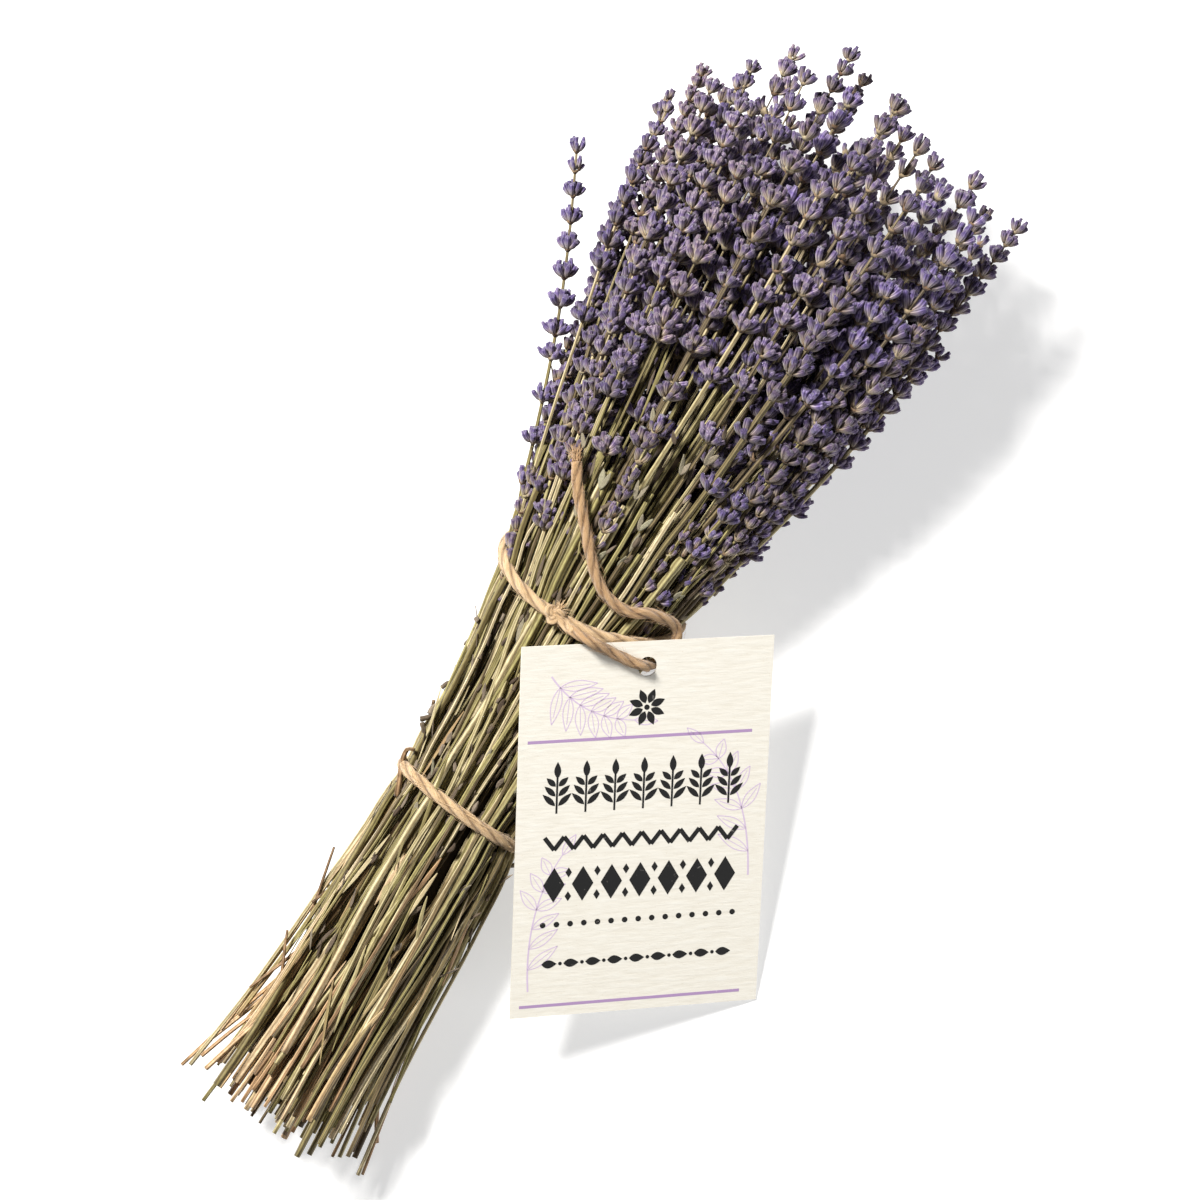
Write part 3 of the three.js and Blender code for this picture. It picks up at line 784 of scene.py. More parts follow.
def calyx_shapes(count, sides=10):
    """Some calyxes, 1 mm long and alike in their faces: narrow foot, ribbed barrel and a mouth that is shut,
    open, or holds a dry flower."""
    stations = np.array([0.0, 0.08, 0.26, 0.5, 0.74, 0.9, 0.98])
    radii = np.array([0.075, 0.14, 0.19, 0.215, 0.225, 0.215, 0.18])
    rings = len(stations)
    angles = angles_of(sides)
    is_groove = np.arange(sides) % 2
    shapes = []
    for k in range(count):
        r = radii * uniform(0.86, 1.12) * uniform(0.94, 1.06, rings)
        z = stations.copy()
        hub = 1.02
        if k % 3 == 1:
            r[5:] = r[5] * uniform(1.0, 1.15), r[5] * uniform(0.95, 1.2)
            hub = 0.84
        if k % 3 == 2:
            z[5:] = 0.94, 1.08
            r[5:] = 0.15, 0.13
            hub = 1.12
        z = z[:, None]
        ring = r[:, None] * (1 - 0.16 * is_groove) * uniform(0.94, 1.06, (rings, sides))
        bend = uniform(0.03, 0.15)
        x = ring * np.cos(angles) + bend * np.sin(z * np.pi * 0.9)
        y = ring * np.sin(angles) + uniform(-0.05, 0.05) * z
        tall = z + uniform(-0.05, 0.05, x.shape) * (z > 0.85)
        ends = [(0, 0, -0.02), (bend * np.sin(np.pi * 0.9), 0, hub)]
        shapes.append(np.concatenate([np.stack([x, y, tall], -1).reshape(-1, 3), ends]))
    uv = np.concatenate([ring_uv(np.arange(sides) / sides, stations), [(0.5, 0), (0.5, 1)]])
    # Painted shade in the grooves between the ribs, a little at the foot and more in the mouth.
    groove = np.append(np.tile(is_groove, rings), [0.3, 0.8])
    return np.array(shapes), tube_faces(rings, sides), uv, groove


def bract_shapes(count, sides=10):
    """Papery cups with two pointed lobes, closed, 1 mm high to their points."""
    angles = angles_of(sides)
    lobes = np.clip(np.cos(2 * angles), 0, 1) ** 1.3
    shapes = []
    for _ in range(count):
        rim = 0.34 + 0.6 * lobes * uniform(0.75, 1.1, sides)
        # Radius and height of each ring: up the outside, over the rim and down the inside.
        rings = [
            (0.20, -0.12), (0.42, rim * 0.35), (0.55 + 0.22 * rim, rim),
            (0.51 + 0.22 * rim, rim + 0.02), (0.36, rim * 0.45), (0.12, 0.05),
        ]
        shapes.append(np.concatenate([
            np.stack(np.broadcast_arrays(*polar(r, angles), h), -1) for r, h in rings
        ]))
    uv = ring_uv(np.arange(sides) / sides, np.arange(6) / 5)
    # Painted shade: most inside the cup, some at its foot and rim, none on its outside.
    groove = np.repeat([0.6, 0.0, 0.0, 0.2, 1.0, 1.0], sides)
    return np.array(shapes), [ring_faces(6, sides, closed=True)], uv, groove


CALYXES = calyx_shapes(18)
BRACTS = bract_shapes(8)
# How high the layer is into which what would be under the floor is pressed.
PRESS = 3.0


def pressed(points):
    """What would reach into the floor is pressed flat over it."""
    z = points[..., 2]
    points[..., 2] = np.where(z < PRESS, PRESS * np.exp(np.minimum(0, z - PRESS) / PRESS), z)
    return points


def add_copies(pile, kit, feet, outs, ends, sizes, material, tone, hue):
    shapes, faces, uv, groove = kit
    local = shapes[random.integers(0, len(shapes), len(feet))] * sizes[:, None, None]
    sides = np.cross(ends, outs)
    points = (feet[:, None] + local[..., :1] * outs[:, None] + local[..., 1:2] * sides[:, None]
              + local[..., 2:] * ends[:, None])
    count, size = points.shape[:2]
    shift = (np.arange(count) * size)[:, None, None]
    rows = [(f[None] + shift).reshape(-1, f.shape[1]) for f in faces]
    pile.add(pressed(points), rows, np.tile(uv, (count, 1)), material,
             tone=np.repeat(tone, size), hue=np.repeat(hue, size), groove=np.tile(groove, count))


def add_whorl(pile, plan, ends, size, count, spread):
    """A whorl of calyxes in two tiers round the stem, over its pair of bracts. ends are two of its points."""
    centre = ends[0]
    along = unit(ends[1] - centre)
    across = unit(np.cross(along, (0, 0, 1)))
    other = np.cross(along, across)
    outer = int(np.ceil(count * 0.58))
    inner = count - outer
    angles = np.concatenate([angles_of(outer), (np.arange(inner) + 0.5) / max(1, inner) * TURN])
    angles = angles + uniform(0, TURN)
    angles = angles + uniform(-0.25, 0.25, count)
    is_inner = np.arange(count) >= outer
    lean = np.radians(np.where(is_inner, 18, 46)) * spread + uniform(-0.16, 0.16, count)
    radial = turned(angles, across, other)
    ways = unit(turned(lean, along, radial))
    outs = unit(radial - ways * np.sum(radial * ways, 1)[:, None])
    feet = centre + radial * (0.78 * size) + along * (np.where(is_inner, 1.0, 0.15) * size)[:, None]
    length = size * uniform(3.9, 5.1, count)
    tone = np.clip(plan["tone"] + normal(0, 0.16, count), 0, 1)
    hue = np.clip(plan["hue"] + normal(0, 0.12, count), 0, 1)
    add_copies(pile, CALYXES, feet, outs, ways, length, 0, tone, hue)
    out = turned(uniform(0, TURN), across, other)[None]
    foot = (centre - along * 0.6 * size)[None]
    add_copies(pile, BRACTS, foot, out, along[None], np.array([2.7 * size]), 1,
               uniform(0, 1, 1), plan["hue"])


def add_buds(pile, count, x, rho, turn, angle=None):
    """Single calyxes caught between the stems, within spans of x and rho, all round or at given angles."""
    x = uniform(*x, count)
    if angle is None:
        angle = uniform(0, TURN, count)
    rho = uniform(*rho, count)
    feet = stem_line(x, *polar(rho, angle))
    ends = np.array([1, 0, 0]) * random.choice([-1, 1], count)[:, None]
    ends = unit(ends + normal(0, turn, (count, 3)))
    outs = unit(np.cross(ends, normal(0, 1, (count, 3))))
    add_copies(pile, CALYXES, feet, outs, ends, uniform(2.2, 3.8, count), 0,
               uniform(0, 0.75, count), uniform(0, 0.2, count))


def line_of(plan, x):
    """Points of a flowering stem above its foot."""
    return stem_line(x, *plan_place(plan, x))


def add_spike(pile, plan):
    """The whorls of one spike, closer and smaller towards its tip, and its lone whorls."""
    whorls, length = plan["whorls"], plan["length"]
    share = 1 - (1 - np.arange(whorls) / (whorls - 1)) ** 1.15
    starts = plan["tip"][0] - length + 1 + share * (length - 4)
    # Each whorl's x, and how small and how spread it is.
    places = [(x, 1 - 0.3 * (k / whorls) ** 2, 1.0 - 0.4 * k / whorls) for k, x in enumerate(starts)]
    places += [(x, 0.92, 1.12) for x in plan["low"]]
    for x, small, spread in places:
        count = int(random.integers(*plan["crowd"]) * (1 if small > 0.8 else 0.7))
        if uniform() < 0.12:
            count = int(random.integers(3, 6))
        ends = line_of(plan, np.array([x, x + 1.0]))
        add_whorl(pile, plan, ends, plan["size"] * small, count, spread * plan["spread"])


# --------------- stems

STEM_R = 0.8
STEM_SIDES = 8
STEM_RINGS = 72
STEMS = 312
STEM_JOINTS = 2
LOOSE_SHARE = 0.14
CORE_REACH = 0.6


def packed_places(count):
    """The stems' places in the section where they are tied: close together, with uneven gaps."""
    half = np.array([17.5, 12.8])
    places = np.empty((0, 2))
    for _ in range(count):
        rho, angle = np.sqrt(uniform(0, 1.04, 50)), uniform(0, TURN, 50)
        tries = np.stack(polar(rho, angle), -1)
        if len(places):
            gaps = np.linalg.norm((tries[:, None] - places[None]) * half, axis=-1).min(1)
            tries = tries[np.argmax(gaps)][None]
        places = np.concatenate([places, tries[:1]])
    return places


def shaken(place, turn, shift):
    """A place near by, a little round and a little in or out."""
    angle = np.arctan2(place[1], place[0]) + normal(0, turn)
    rho = np.clip(np.hypot(*place) + normal(0, shift), 0, 1.03)
    return np.array(polar(rho, angle))


def wave(x, height, length):
    """A wave along x whose height and length are drawn from these spans."""
    return uniform(*height) * np.sin(x / uniform(*length) + uniform(0, TURN))


def stem_course(x, place, plan, loose):
    """A stem's points at x: packed between the ties, apart at the cut end, and on its plan in the head."""
    low = shaken(place, 0.24, 0.11)
    first = shaken(low, 0.5 if loose else 0.2, 0.1)
    if plan:
        goal = np.stack(plan_place(plan, x), -1)
        blend = np.clip((x - 4) / max(12, plan["foot"][0] - 4), 0, 1)
        blend = 0.3 * smooth(blend) + 0.7 * blend
    else:
        goal = place * uniform(0.8, 0.95)
        blend = smooth((x - 4) / 60)
    between = smooth((x - LOWER_TIE["x"]) / (UPPER_TIE["x"] - LOWER_TIE["x"]))
    before = smooth((LOWER_TIE["x"] - x) / 100)
    course = low + (place - low) * between[:, None] + (goal - place) * blend[:, None]
    course = course + (first - low) * before[:, None]
    points = stem_line(x, *course.T)
    # Away from the ties, stems sway a little, and they part towards the cut end.
    free = smooth(np.abs(x - LOWER_TIE["x"]) / 22) * smooth(np.abs(x - UPPER_TIE["x"]) / 26)
    free = free * smooth((60 - x) / 40)
    flare = np.clip(normal(0, 4.5 if loose else 2.8, 2), -7, 7) * np.array([1, 0.7])
    out = smooth((-84 - x) / 105)
    for axis in range(2):
        sway = wave(x, (0.1, 0.9), (19, 38)) + wave(x, (0, 0.13), (5, 9))
        points[:, 1 + axis] += sway * free + flare[axis] * out
    return points


def add_stem(pile, place, plan, loose):
    """One stem from its cut end, through both ties, to the top of its spike, or to a broken end."""
    cut = uniform(-179, -154) - (3 if loose else 0)
    end = plan["tip"][0] - 3 if plan else uniform(12, 44)
    x = np.linspace(cut, end, STEM_RINGS)
    points = stem_course(x, place, plan, loose)
    thick = (plan["thick"] if plan else 1) * STEM_R * uniform(0.5, 1.05)
    if uniform() < 0.15:
        thick = thick * 1.35
    taper = np.interp(x, (-180, 20, 110, 170), (1.08, 1.0, 0.74, 0.5))
    for _ in range(STEM_JOINTS):
        taper = taper + 0.3 * np.exp(-((x - uniform(-150, 60)) / 2.2) ** 2)
    is_groove = np.arange(STEM_SIDES) % 2
    radius = thick * taper[:, None] * (1 - 0.26 * is_groove)
    # Nothing comes nearer the floor than its own thickness.
    points[:, 2] = np.maximum(points[:, 2], radius.max(1) + 0.02)
    angles = angles_of(STEM_SIDES) + uniform(0, TURN)
    twist = angles + (x[:, None] - cut) * uniform(-0.012, 0.012)
    seed = uniform(0, 50)
    uv = ring_uv(np.arange(STEM_SIDES) / STEM_SIDES + seed, x + seed * 7)
    uv = np.concatenate([uv, [(seed, x[0]), (seed, x[-1])]])
    # Stems on the card's side are fresher at their cut ends.
    freshness = (0.6, 1.0) if place[0] > -0.15 else (0.9, 0.6)
    # The sides between the stem's ridges carry painted shade.
    add_tube(pile, tube_points(points, radius, twist), points[[0, -1]], uv,
             tone=random.beta(0.95, 1.0), fresh=random.beta(*freshness),
             along=(np.append(np.repeat(x, STEM_SIDES), x[[0, -1]]) + 190) / 380,
             groove=np.append(np.tile(is_groove, STEM_RINGS), [0, 0]))


def add_twig(pile, plan):
    """The stalk of a small shoot."""
    rings, sides = 14, 6
    x = np.linspace(plan["foot"][0], plan["tip"][0] - 3, rings)
    points = line_of(plan, x)
    points[:, 2] = np.maximum(points[:, 2], 0.7)
    tube = tube_points(points, np.linspace(0.55, 0.3, rings)[:, None], angles_of(sides))
    uv = with_ends(ring_uv(np.full(sides, uniform(0, 50)), x))
    add_tube(pile, tube, points[[0, -1]], uv, tone=uniform(0.2, 0.8), fresh=1, along=0.6, groove=0.3)


def add_leaf(pile, foot, heading, out, length, width, tone, material=1, along=0.5):
    """A narrow dry leaf, closed, that curls off its line."""
    rings, sides = 9, 6
    heading = unit(heading)
    out = unit(out - heading * np.dot(out, heading))
    side = np.cross(heading, out)
    t = np.linspace(0, 1, rings)[:, None]
    curl = uniform(-0.12, 0.3) * min(1, 8 / length)
    roll = uniform(-1.2, 1.2)
    drift = uniform(-0.1, 0.1)
    path = foot + heading * (t * length) + out * (curl * length * t**2) + side * (drift * length * t**2)
    path[:, 2] = np.maximum(path[:, 2], 0.1)
    half = np.maximum(width / 2 * np.sin(np.pi * np.clip(t * 0.96 + 0.03, 0, 1)) ** 0.7, 0.13)
    angles = angles_of(sides)
    flat, thick = half * np.cos(angles), 0.16 * np.sin(angles) + 0.25 * half * np.cos(angles) ** 2
    cos, sin = np.cos(roll * t), np.sin(roll * t)
    points = rings_on(path, side, out, flat * cos - thick * sin, flat * sin + thick * cos)
    points[..., 2] = np.maximum(points[..., 2], 0.03)
    uv = with_ends(ring_uv(angles / TURN + uniform(0, 30), t * length))
    # Painted shade in the channel along the leaf's outer face, a little on its inner face, none at its edges.
    groove = np.append(np.tile([0, 0.6, 0.6, 0, 0.2, 0.2], rings), [0, 0])
    add_tube(pile, points, path[[0, -1]], uv, material, tone=tone, fresh=1, along=along, groove=groove)


LEAVES = 420
BLADES = 90
FAN_BLADES = 70
LEAF_PAIRS = 11


def leaf_foot(x, angle, rho):
    """Where a leaf begins, the way that the stem under it runs, and the way out of the bunch."""
    ends = stem_line(np.array([x, x + 1]), *polar(rho, angle))
    return ends[0], unit(ends[1] - ends[0]), np.array([0, np.cos(angle), np.sin(angle)])


def add_leaves(pile):
    """Scraps of leaf on and between the stems, up to the lowest flowers."""
    for _ in range(LEAVES):
        x, angle, rho = uniform(-130, 60), uniform(0, TURN), uniform(0.84, 1.0)
        length = uniform(3, 9)
        foot, along, out = leaf_foot(x, angle, rho)
        heading = along + normal(0, 0.2, 3)
        heading = heading + out * uniform(-0.02, 0.12)
        add_leaf(pile, foot, heading, out, length, uniform(0.8, 1.8), random.beta(1.3, 1.8))


def add_blades(pile, count, start, stop, rho, reach):
    """Long narrow leaves that lie slantwise on the stems, as brown or green as the stems are at reach."""
    for _ in range(count):
        foot, along, out = leaf_foot(uniform(start, stop), uniform(0, TURN), rho)
        along = along * random.choice([-1, 1])
        heading = along + np.cross(along, out) * normal(0, 0.16) + out * 0.03
        add_leaf(pile, foot, heading, out, uniform(12, 34), uniform(0.8, 1.5),
                 uniform(0.3, 1), material=0, along=reach + uniform(-0.3, 0.3))


def add_leaf_pairs(pile):
    """Small grey leaves in twos at the joints of the upper stems, over the upper tie."""
    for _ in range(LEAF_PAIRS):
        foot, along, out = leaf_foot(uniform(6, 52), uniform(0.15, 0.85) * np.pi, 0.99)
        side = np.cross(along, out)
        for sign in (-1, 1):
            heading = along + side * sign * uniform(0.15, 0.4) + out * uniform(0, 0.15)
            add_leaf(pile, foot, heading, out, uniform(4, 6.5), uniform(1.4, 2.1),
                     uniform(0.75, 1))


# Bits that stand out of the tied stems: their points, how thick they are at the first and the last one, and
# how light they are.
SIDE_BITS = [
    ([(-118, 15, 14), (-140, 20, 12), (-158, 26, 11), (-178, 32, 11)], 0.7, 0.55, 0.45),
    ([(-124, 17, 20), (-136, 21.5, 21), (-147, 26, 22)], 0.55, 0.4, 0.2),
    ([(-128, 18.5, 18), (-122, 21, 19), (-112, 23.2, 20), (-100, 25.6, 21)], 0.6, 0.35, 0),
    ([(-139, 20, 22), (-132, 23, 23.5), (-127, 25, 24)], 0.55, 0.35, 0.1),
    ([(-138, -17, 12), (-152, -20, 9), (-162, -24, 6), (-170, -28.5, 4)], 0.75, 0.65, 0.3),
    ([(-142, 19, 16), (-158, 25, 14), (-167, 28.5, 13)], 0.65, 0.6, 0.8),
    ([(-146, 18, 20), (-160, 24, 21), (-171, 28, 22)], 0.6, 0.6, 0.6),
    ([(-150, 18, 24), (-163, 22, 25), (-173, 25, 25)], 0.75, 0.75, 0.75),
    ([(-78, 17.3, 24), (-73, 19.3, 24.5), (-68, 21.3, 25), (-64.6, 21.5, 26), (-63.9, 19.8, 27)],
     1.0, 0.65, 0.15),
    ([(-62, 18, 20), (-55, 20.3, 20.5), (-49, 22.3, 21)], 0.4, 0.5, 0),
    ([(-106, 19, 20), (-112, 21, 20.5), (-117, 23, 21)], 0.5, 0.4, 0),
]


def add_side_bits(pile):
    """Broken stems that lean out of the bunch near its cut end, and a bent stub at the lower tie."""
    rings, sides = 16, 8
    is_groove = np.arange(sides) % 2
    for points, first, last, tone in SIDE_BITS:
        path = evenly(centripetal(np.array(points, float), 12), 1.2)
        path = path[np.linspace(0, len(path) - 1, rings).round().astype(int)]
        radius = np.linspace(first, last, rings)[:, None] * (1 - 0.2 * is_groove)
        uv = with_ends(ring_uv(np.full(sides, uniform(0, 50)), path[:, 0]))
        add_tube(pile, tube_points(path, radius, angles_of(sides)), path[[0, -1]], uv, tone=tone, fresh=0,
                 along=0.05, groove=np.append(np.tile(is_groove, rings), [0, 0]))


def add_core(pile):
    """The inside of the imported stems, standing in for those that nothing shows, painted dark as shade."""
    x = np.linspace(-150, 50, 28)
    share = CORE_REACH * np.sqrt(np.clip(np.minimum((x + 152) / 16, (54 - x) / 50), 0, 1))
    points = np.stack([stem_line(x, *polar(share, a)) for a in angles_of(28)], 1)
    # Painted shade: the darkest stem tone and the full groove shade.
    add_tube(pile, points, points[[0, -1]].mean(1), (0, 0), tone=0, fresh=1, along=0.5, groove=1)


def match_places(places, plans):
    """Gives each flowering stem a place where the stems are tied, near its own in the head."""
    free = list(range(len(places)))
    matched = {}
    for plan in sorted(plans, key=lambda plan: -np.hypot(*plan["foot"][1:])):
        want = np.array(plan["foot"][1:])
        want = want / max(1, np.hypot(*want) / 0.97)
        best = min(free, key=lambda k: np.hypot(*(places[k] - want)))
        matched[best] = plan
        free.remove(best)
    return matched


# --------------- twine

PLIES = 3
TWINE_SIDES = 36
# How thick loose fibres are, and those that a cut end opens into.
HAIR_R = 0.06
FRAY_R = 0.11


def add_twine(pile, path, radius, closed=False, pitch=16.0, outs=None, flat=1.0):
    """A laid twine: a tube whose plies wind round each other. outs point away from what it is pressed on."""
    lengths = lengths_along(path)
    around = angles_of(TWINE_SIDES)
    if closed:
        whole = lengths[-1] + np.linalg.norm(path[0] - path[-1])
        pitch = whole / round(whole / pitch)
    wind = (lengths / pitch * TURN)[:, None]
    ridge = np.abs(np.cos((around - wind) * PLIES / 2)) ** 0.6
    stations = np.arange(0, lengths[-1] + 3, 3)
    lumps = np.interp(lengths, stations, normal(0, 0.03, len(stations)))[:, None]
    strands = 0.035 * np.sin((around - wind * 1.12) * 17 + 2.2 * np.sin(wind * 1.7))
    rough = normal(0, 0.018, (len(path), TWINE_SIDES))
    ring = radius * (0.72 + 0.29 * ridge + strands + lumps + rough)
    if outs is None:
        points = tube_points(path, ring, around, closed)
    else:
        side = np.cross(outs, along_loop(path))
        wide, high = ring * np.cos(around), flat * ring * np.sin(around)
        points = rings_on(path, side[:, None], outs[:, None], wide, high)
    points[..., 2] = np.maximum(points[..., 2], 0.05)
    uv = ring_uv((around - wind) / TURN * 3, lengths / 4)
    # Painted shade in the creases between the plies.
    groove = (1 - ridge).ravel()
    if closed:
        pile.add(points, [ring_faces(len(path), TWINE_SIDES, closed=True)], uv, groove=groove)
    else:
        add_tube(pile, points, path[[0, -1]], with_ends(uv), groove=np.append(groove, [0.5, 0.5]))


def add_hair(pile, line, thick):
    """One loose fibre."""
    n, sides = len(line), 3
    line[:, 2] = np.maximum(line[:, 2], 0.1)
    uv = ring_uv(np.full(sides, uniform(0, 9)), lengths_along(line) / 4)
    tube = tube_points(line, np.linspace(thick, thick * 0.4, n)[:, None], angles_of(sides))
    ends = np.array([[0, 2, 1], [3 * n - 3, 3 * n - 2, 3 * n - 1]])
    pile.add(tube, [ring_faces(n, sides), ends], uv, groove=uniform(0, 0.3))


def add_fibres(pile, path, radius, count, reach, closed=False):
    """Loose fibres that leave the twine at a low angle and curl."""
    across, other = frames_along(path, closed)
    lengths = lengths_along(path)
    for _ in range(count):
        start = uniform(0.02, 0.98) * lengths[-1]
        s = np.linspace(start, start + uniform(3, 9) * random.choice([-1, 1]), 6)
        base = points_at(np.clip(s, 0, lengths[-1]), lengths, path)
        i = min(len(path) - 1, int(np.searchsorted(lengths, start)))
        angle = uniform(0, TURN) + np.linspace(0, uniform(-1.5, 1.5), 6)
        lift = radius * 0.93 + reach * uniform(0.1, 1) ** 1.5 * np.linspace(0, 1, 6) ** 1.6
        line = base + turned(angle, across[i], other[i]) * lift[:, None] + normal(0, 0.05, (6, 3))
        if np.linalg.norm(np.diff(line, axis=0), axis=1).min() > 0.05:
            add_hair(pile, line, HAIR_R)


def tie_path(tie, steps):
    return tie_points(tie, angles_of(steps), SEEN_OUT)


def tie_outs(path):
    """Which way is out of the bunch along a tie."""
    along = along_loop(path)
    outs = path - np.stack([path[:, 0], np.zeros(len(path)), section(path[:, 0])[2]], -1)
    return unit(outs - along * np.sum(outs * along, 1)[:, None])


def tie_frame(tie):
    """The knot's place, and the directions along the tie, out of the bunch and across the tie there."""
    steps = 720
    path = tie_path(tie, steps)
    i = int(round(tie["knot"] / TURN * steps)) % steps
    along, out = along_loop(path)[i], tie_outs(path)[i]
    return path[i], along, out, np.cross(out, along)


def add_knot(pile, tie, size):
    """An overhand knot: the twine goes over and under itself in a small trefoil, close to the bunch."""
    place, along, out, side = tie_frame(tie)
    t = angles_of(90)[:, None]
    wide = np.sin(t) + 1.6 * np.sin(2 * t)
    deep = np.cos(t) - 1.6 * np.cos(2 * t)
    high = -np.sin(3 * t)
    loop = place + out * 1.3 + size * (0.62 * wide * along + 0.5 * deep * side + 0.5 * high * out)
    add_twine(pile, loop, TWINE_R * 0.66, closed=True, pitch=9)
    add_fibres(pile, loop, TWINE_R * 0.66, 60, 1.4, closed=True)


def fray(pile, start, heading, spread, count, length):
    """A twine's cut end, opened into its fibres."""
    t = np.linspace(0, 1, 7)[:, None]
    for _ in range(count):
        way = unit(heading + normal(0, spread, 3))
        bend = normal(0, 0.4, 3)
        foot = start + normal(0, 0.5, 3)
        line = foot + (way * t + bend * t**2 * 0.5) * uniform(0.4, 1) * length
        add_hair(pile, line, FRAY_R)


def over_stems(x, y, above):
    """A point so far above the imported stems."""
    half_width, half_depth, middle = section(x)
    lift = np.sqrt(1 - (y / (half_width + RIDGE_OUT)) ** 2)
    return np.array([x, y, middle + (half_depth + RIDGE_OUT) * lift + above])


def over_card(x, y, above):
    """A point so far above the card's plane."""
    level = card_corner[2] + CARD_SLOPE[0] * (x - card_corner[0]) + CARD_SLOPE[1] * (y - card_corner[1])
    return np.array([x, y, level + above])


def string_route():
    """The route's points, as in the solids: from the knot, over the card, down its hole, back under the card
    and over the stems to its loose end."""
    knot = tie_points(UPPER_TIE, UPPER_TIE["knot"], TIE_OUT)
    hole = card_corner + HOLE_ACROSS * card_across + HOLE_DOWN * card_down + CARD_THICKNESS / 2 * card_face
    on_top = CARD_THICKNESS + STRING_R + 0.7
    on_stems = STRING_R + 0.5
    return np.array([
        knot + (-1.2, -5.8, 3.2),
        over_card(hole[0] - 2, hole[1] + 18, on_top + 1),
        over_card(hole[0] - 1.6, hole[1] + 11, on_top),
        over_card(hole[0] - 1.1, hole[1] + 4.4, on_top - 0.2),
        over_card(hole[0] - 0.5, hole[1] + 1.6, 2.9),
        over_card(hole[0], hole[1] + 0.1, 0.3),
        over_card(hole[0] + 1.6, hole[1] - 1.3, -3),
        over_card(-1.2, -29.2, -2.5),
        over_stems(4.2, -27, on_stems + 2),
        over_stems(4, -19, on_stems + 0.3),
        over_stems(1, -12, on_stems),
        over_stems(3, -3, on_stems),
        over_stems(17, 11, on_stems),
        over_stems(24, 17, on_stems),
        over_stems(30, 21, on_stems),
    ])


def centripetal(points, steps_each):
    """A centripetal Catmull-Rom curve through points."""
    first, last = 2 * points[0] - points[1], 2 * points[-1] - points[-2]
    p = np.concatenate([[first], points, [last]])
    made = []
    for i in range(len(points) - 1):
        q = p[i:i + 4]
        knots = np.concatenate([[0], np.cumsum(np.sqrt(np.linalg.norm(np.diff(q, axis=0), axis=1)))])
        t = np.linspace(knots[1], knots[2], steps_each, endpoint=False)[:, None]

        def between(a, b, ta, tb):
            return ((tb - t) * a + (t - ta) * b) / (tb - ta)

        a1 = between(q[0], q[1], knots[0], knots[1])
        a2 = between(q[1], q[2], knots[1], knots[2])
        a3 = between(q[2], q[3], knots[2], knots[3])
        b1 = between(a1, a2, knots[0], knots[2])
        b2 = between(a2, a3, knots[1], knots[3])
        made.append(between(b1, b2, knots[1], knots[2]))
    return np.concatenate([*made, points[-1:]])


# --------------- the card and its print

INK_LIFT = 0.03
CARD_STEP = 3.0


def filled(points, loops, mode):
    """Flat points and the triangles between them, with each loop of points as edges."""
    edges = [(a, b) for loop in loops for a, b in zip(loop, [*loop[1:], loop[0]])]
    out = delaunay_2d_cdt([tuple(p) for p in points], edges, [], mode, 1e-6)
    return np.array([tuple(p) for p in out[0]]), np.array([f for f in out[2] if len(f) == 3])


def from_hole(points):
    return np.hypot(points[:, 0] - HOLE_ACROSS, points[:, 1] - HOLE_DOWN)


def card_sheet():
    """The card's outline with its hole, filled with an even net so that it can bow."""
    size = np.array([CARD_WIDTH, CARD_LENGTH])
    nx, ny = (int(n) for n in np.round(size / CARD_STEP))
    corners = size * [(0, 0), (1, 0), (1, 1), (0, 1)]
    sides = zip(corners, np.roll(corners, -1, 0), (nx, ny, nx, ny))
    edge = np.concatenate([a + (b - a) * np.arange(n)[:, None] / n for a, b, n in sides])
    angles = -angles_of(40)
    hole = np.stack([HOLE_ACROSS + HOLE_R * np.cos(angles), HOLE_DOWN + HOLE_R * np.sin(angles)], -1)
    net = size * [(i, j) for i in range(1, nx) for j in range(1, ny)] / (nx, ny)
    net = net[from_hole(net) > HOLE_R + 1.2]
    loops = [list(range(len(edge))), list(range(len(edge), len(edge) + len(hole)))]
    flat, faces = filled(np.concatenate([edge, hole, net]), loops, 0)
    return flat, faces[from_hole(flat[faces].mean(1)) > HOLE_R * 0.97], loops


def orient(flat, faces):
    """Turns faces so that each runs the same way round."""
    a, b, c = flat[faces[:, 0]], flat[faces[:, 1]], flat[faces[:, 2]]
    area = (b[:, 0] - a[:, 0]) * (c[:, 1] - a[:, 1]) - (b[:, 1] - a[:, 1]) * (c[:, 0] - a[:, 0])
    return np.where((area < 0)[:, None], faces, faces[:, ::-1])


def add_slab(pile, flat, faces, loops, low, high, material=0):
    """A flat shape on the card between two heights, closed round its edges."""
    faces = orient(flat, faces)
    n = len(flat)
    top, bottom = (on_card(flat[:, 0], flat[:, 1], height) for height in (high, low))
    starts = np.concatenate(loops)
    stops = np.concatenate([np.roll(loop, -1) for loop in loops])
    walls = np.stack([starts, stops, stops + n, starts + n], -1)
    uv = np.concatenate([flat, flat]) / 10
    pile.add(np.concatenate([top, bottom]), [faces, faces[:, ::-1] + n, walls], uv, material)


def add_patch(pile, outline, material=0):
    """A printed shape: a thin layer of ink inside an outline on the card, the black over the lilac. An
    outline that crosses itself is left out."""
    loop = list(range(len(outline)))
    flat, faces = filled(outline, [loop], 1)
    if len(flat) == len(outline) and len(faces):
        base = CARD_THICKNESS + 0.005
        add_slab(pile, flat, faces, [loop], base, base + INK_LIFT * (1 if material else 2), material)


def ribbon(line, width):
    """The outline of a drawn line."""
    line = np.array(line, float)
    along = unit(np.gradient(line, axis=0))
    side = np.stack([-along[:, 1], along[:, 0]], -1) * np.reshape(width, (-1, 1)) / 2
    return np.concatenate([line + side, (line - side)[::-1]])


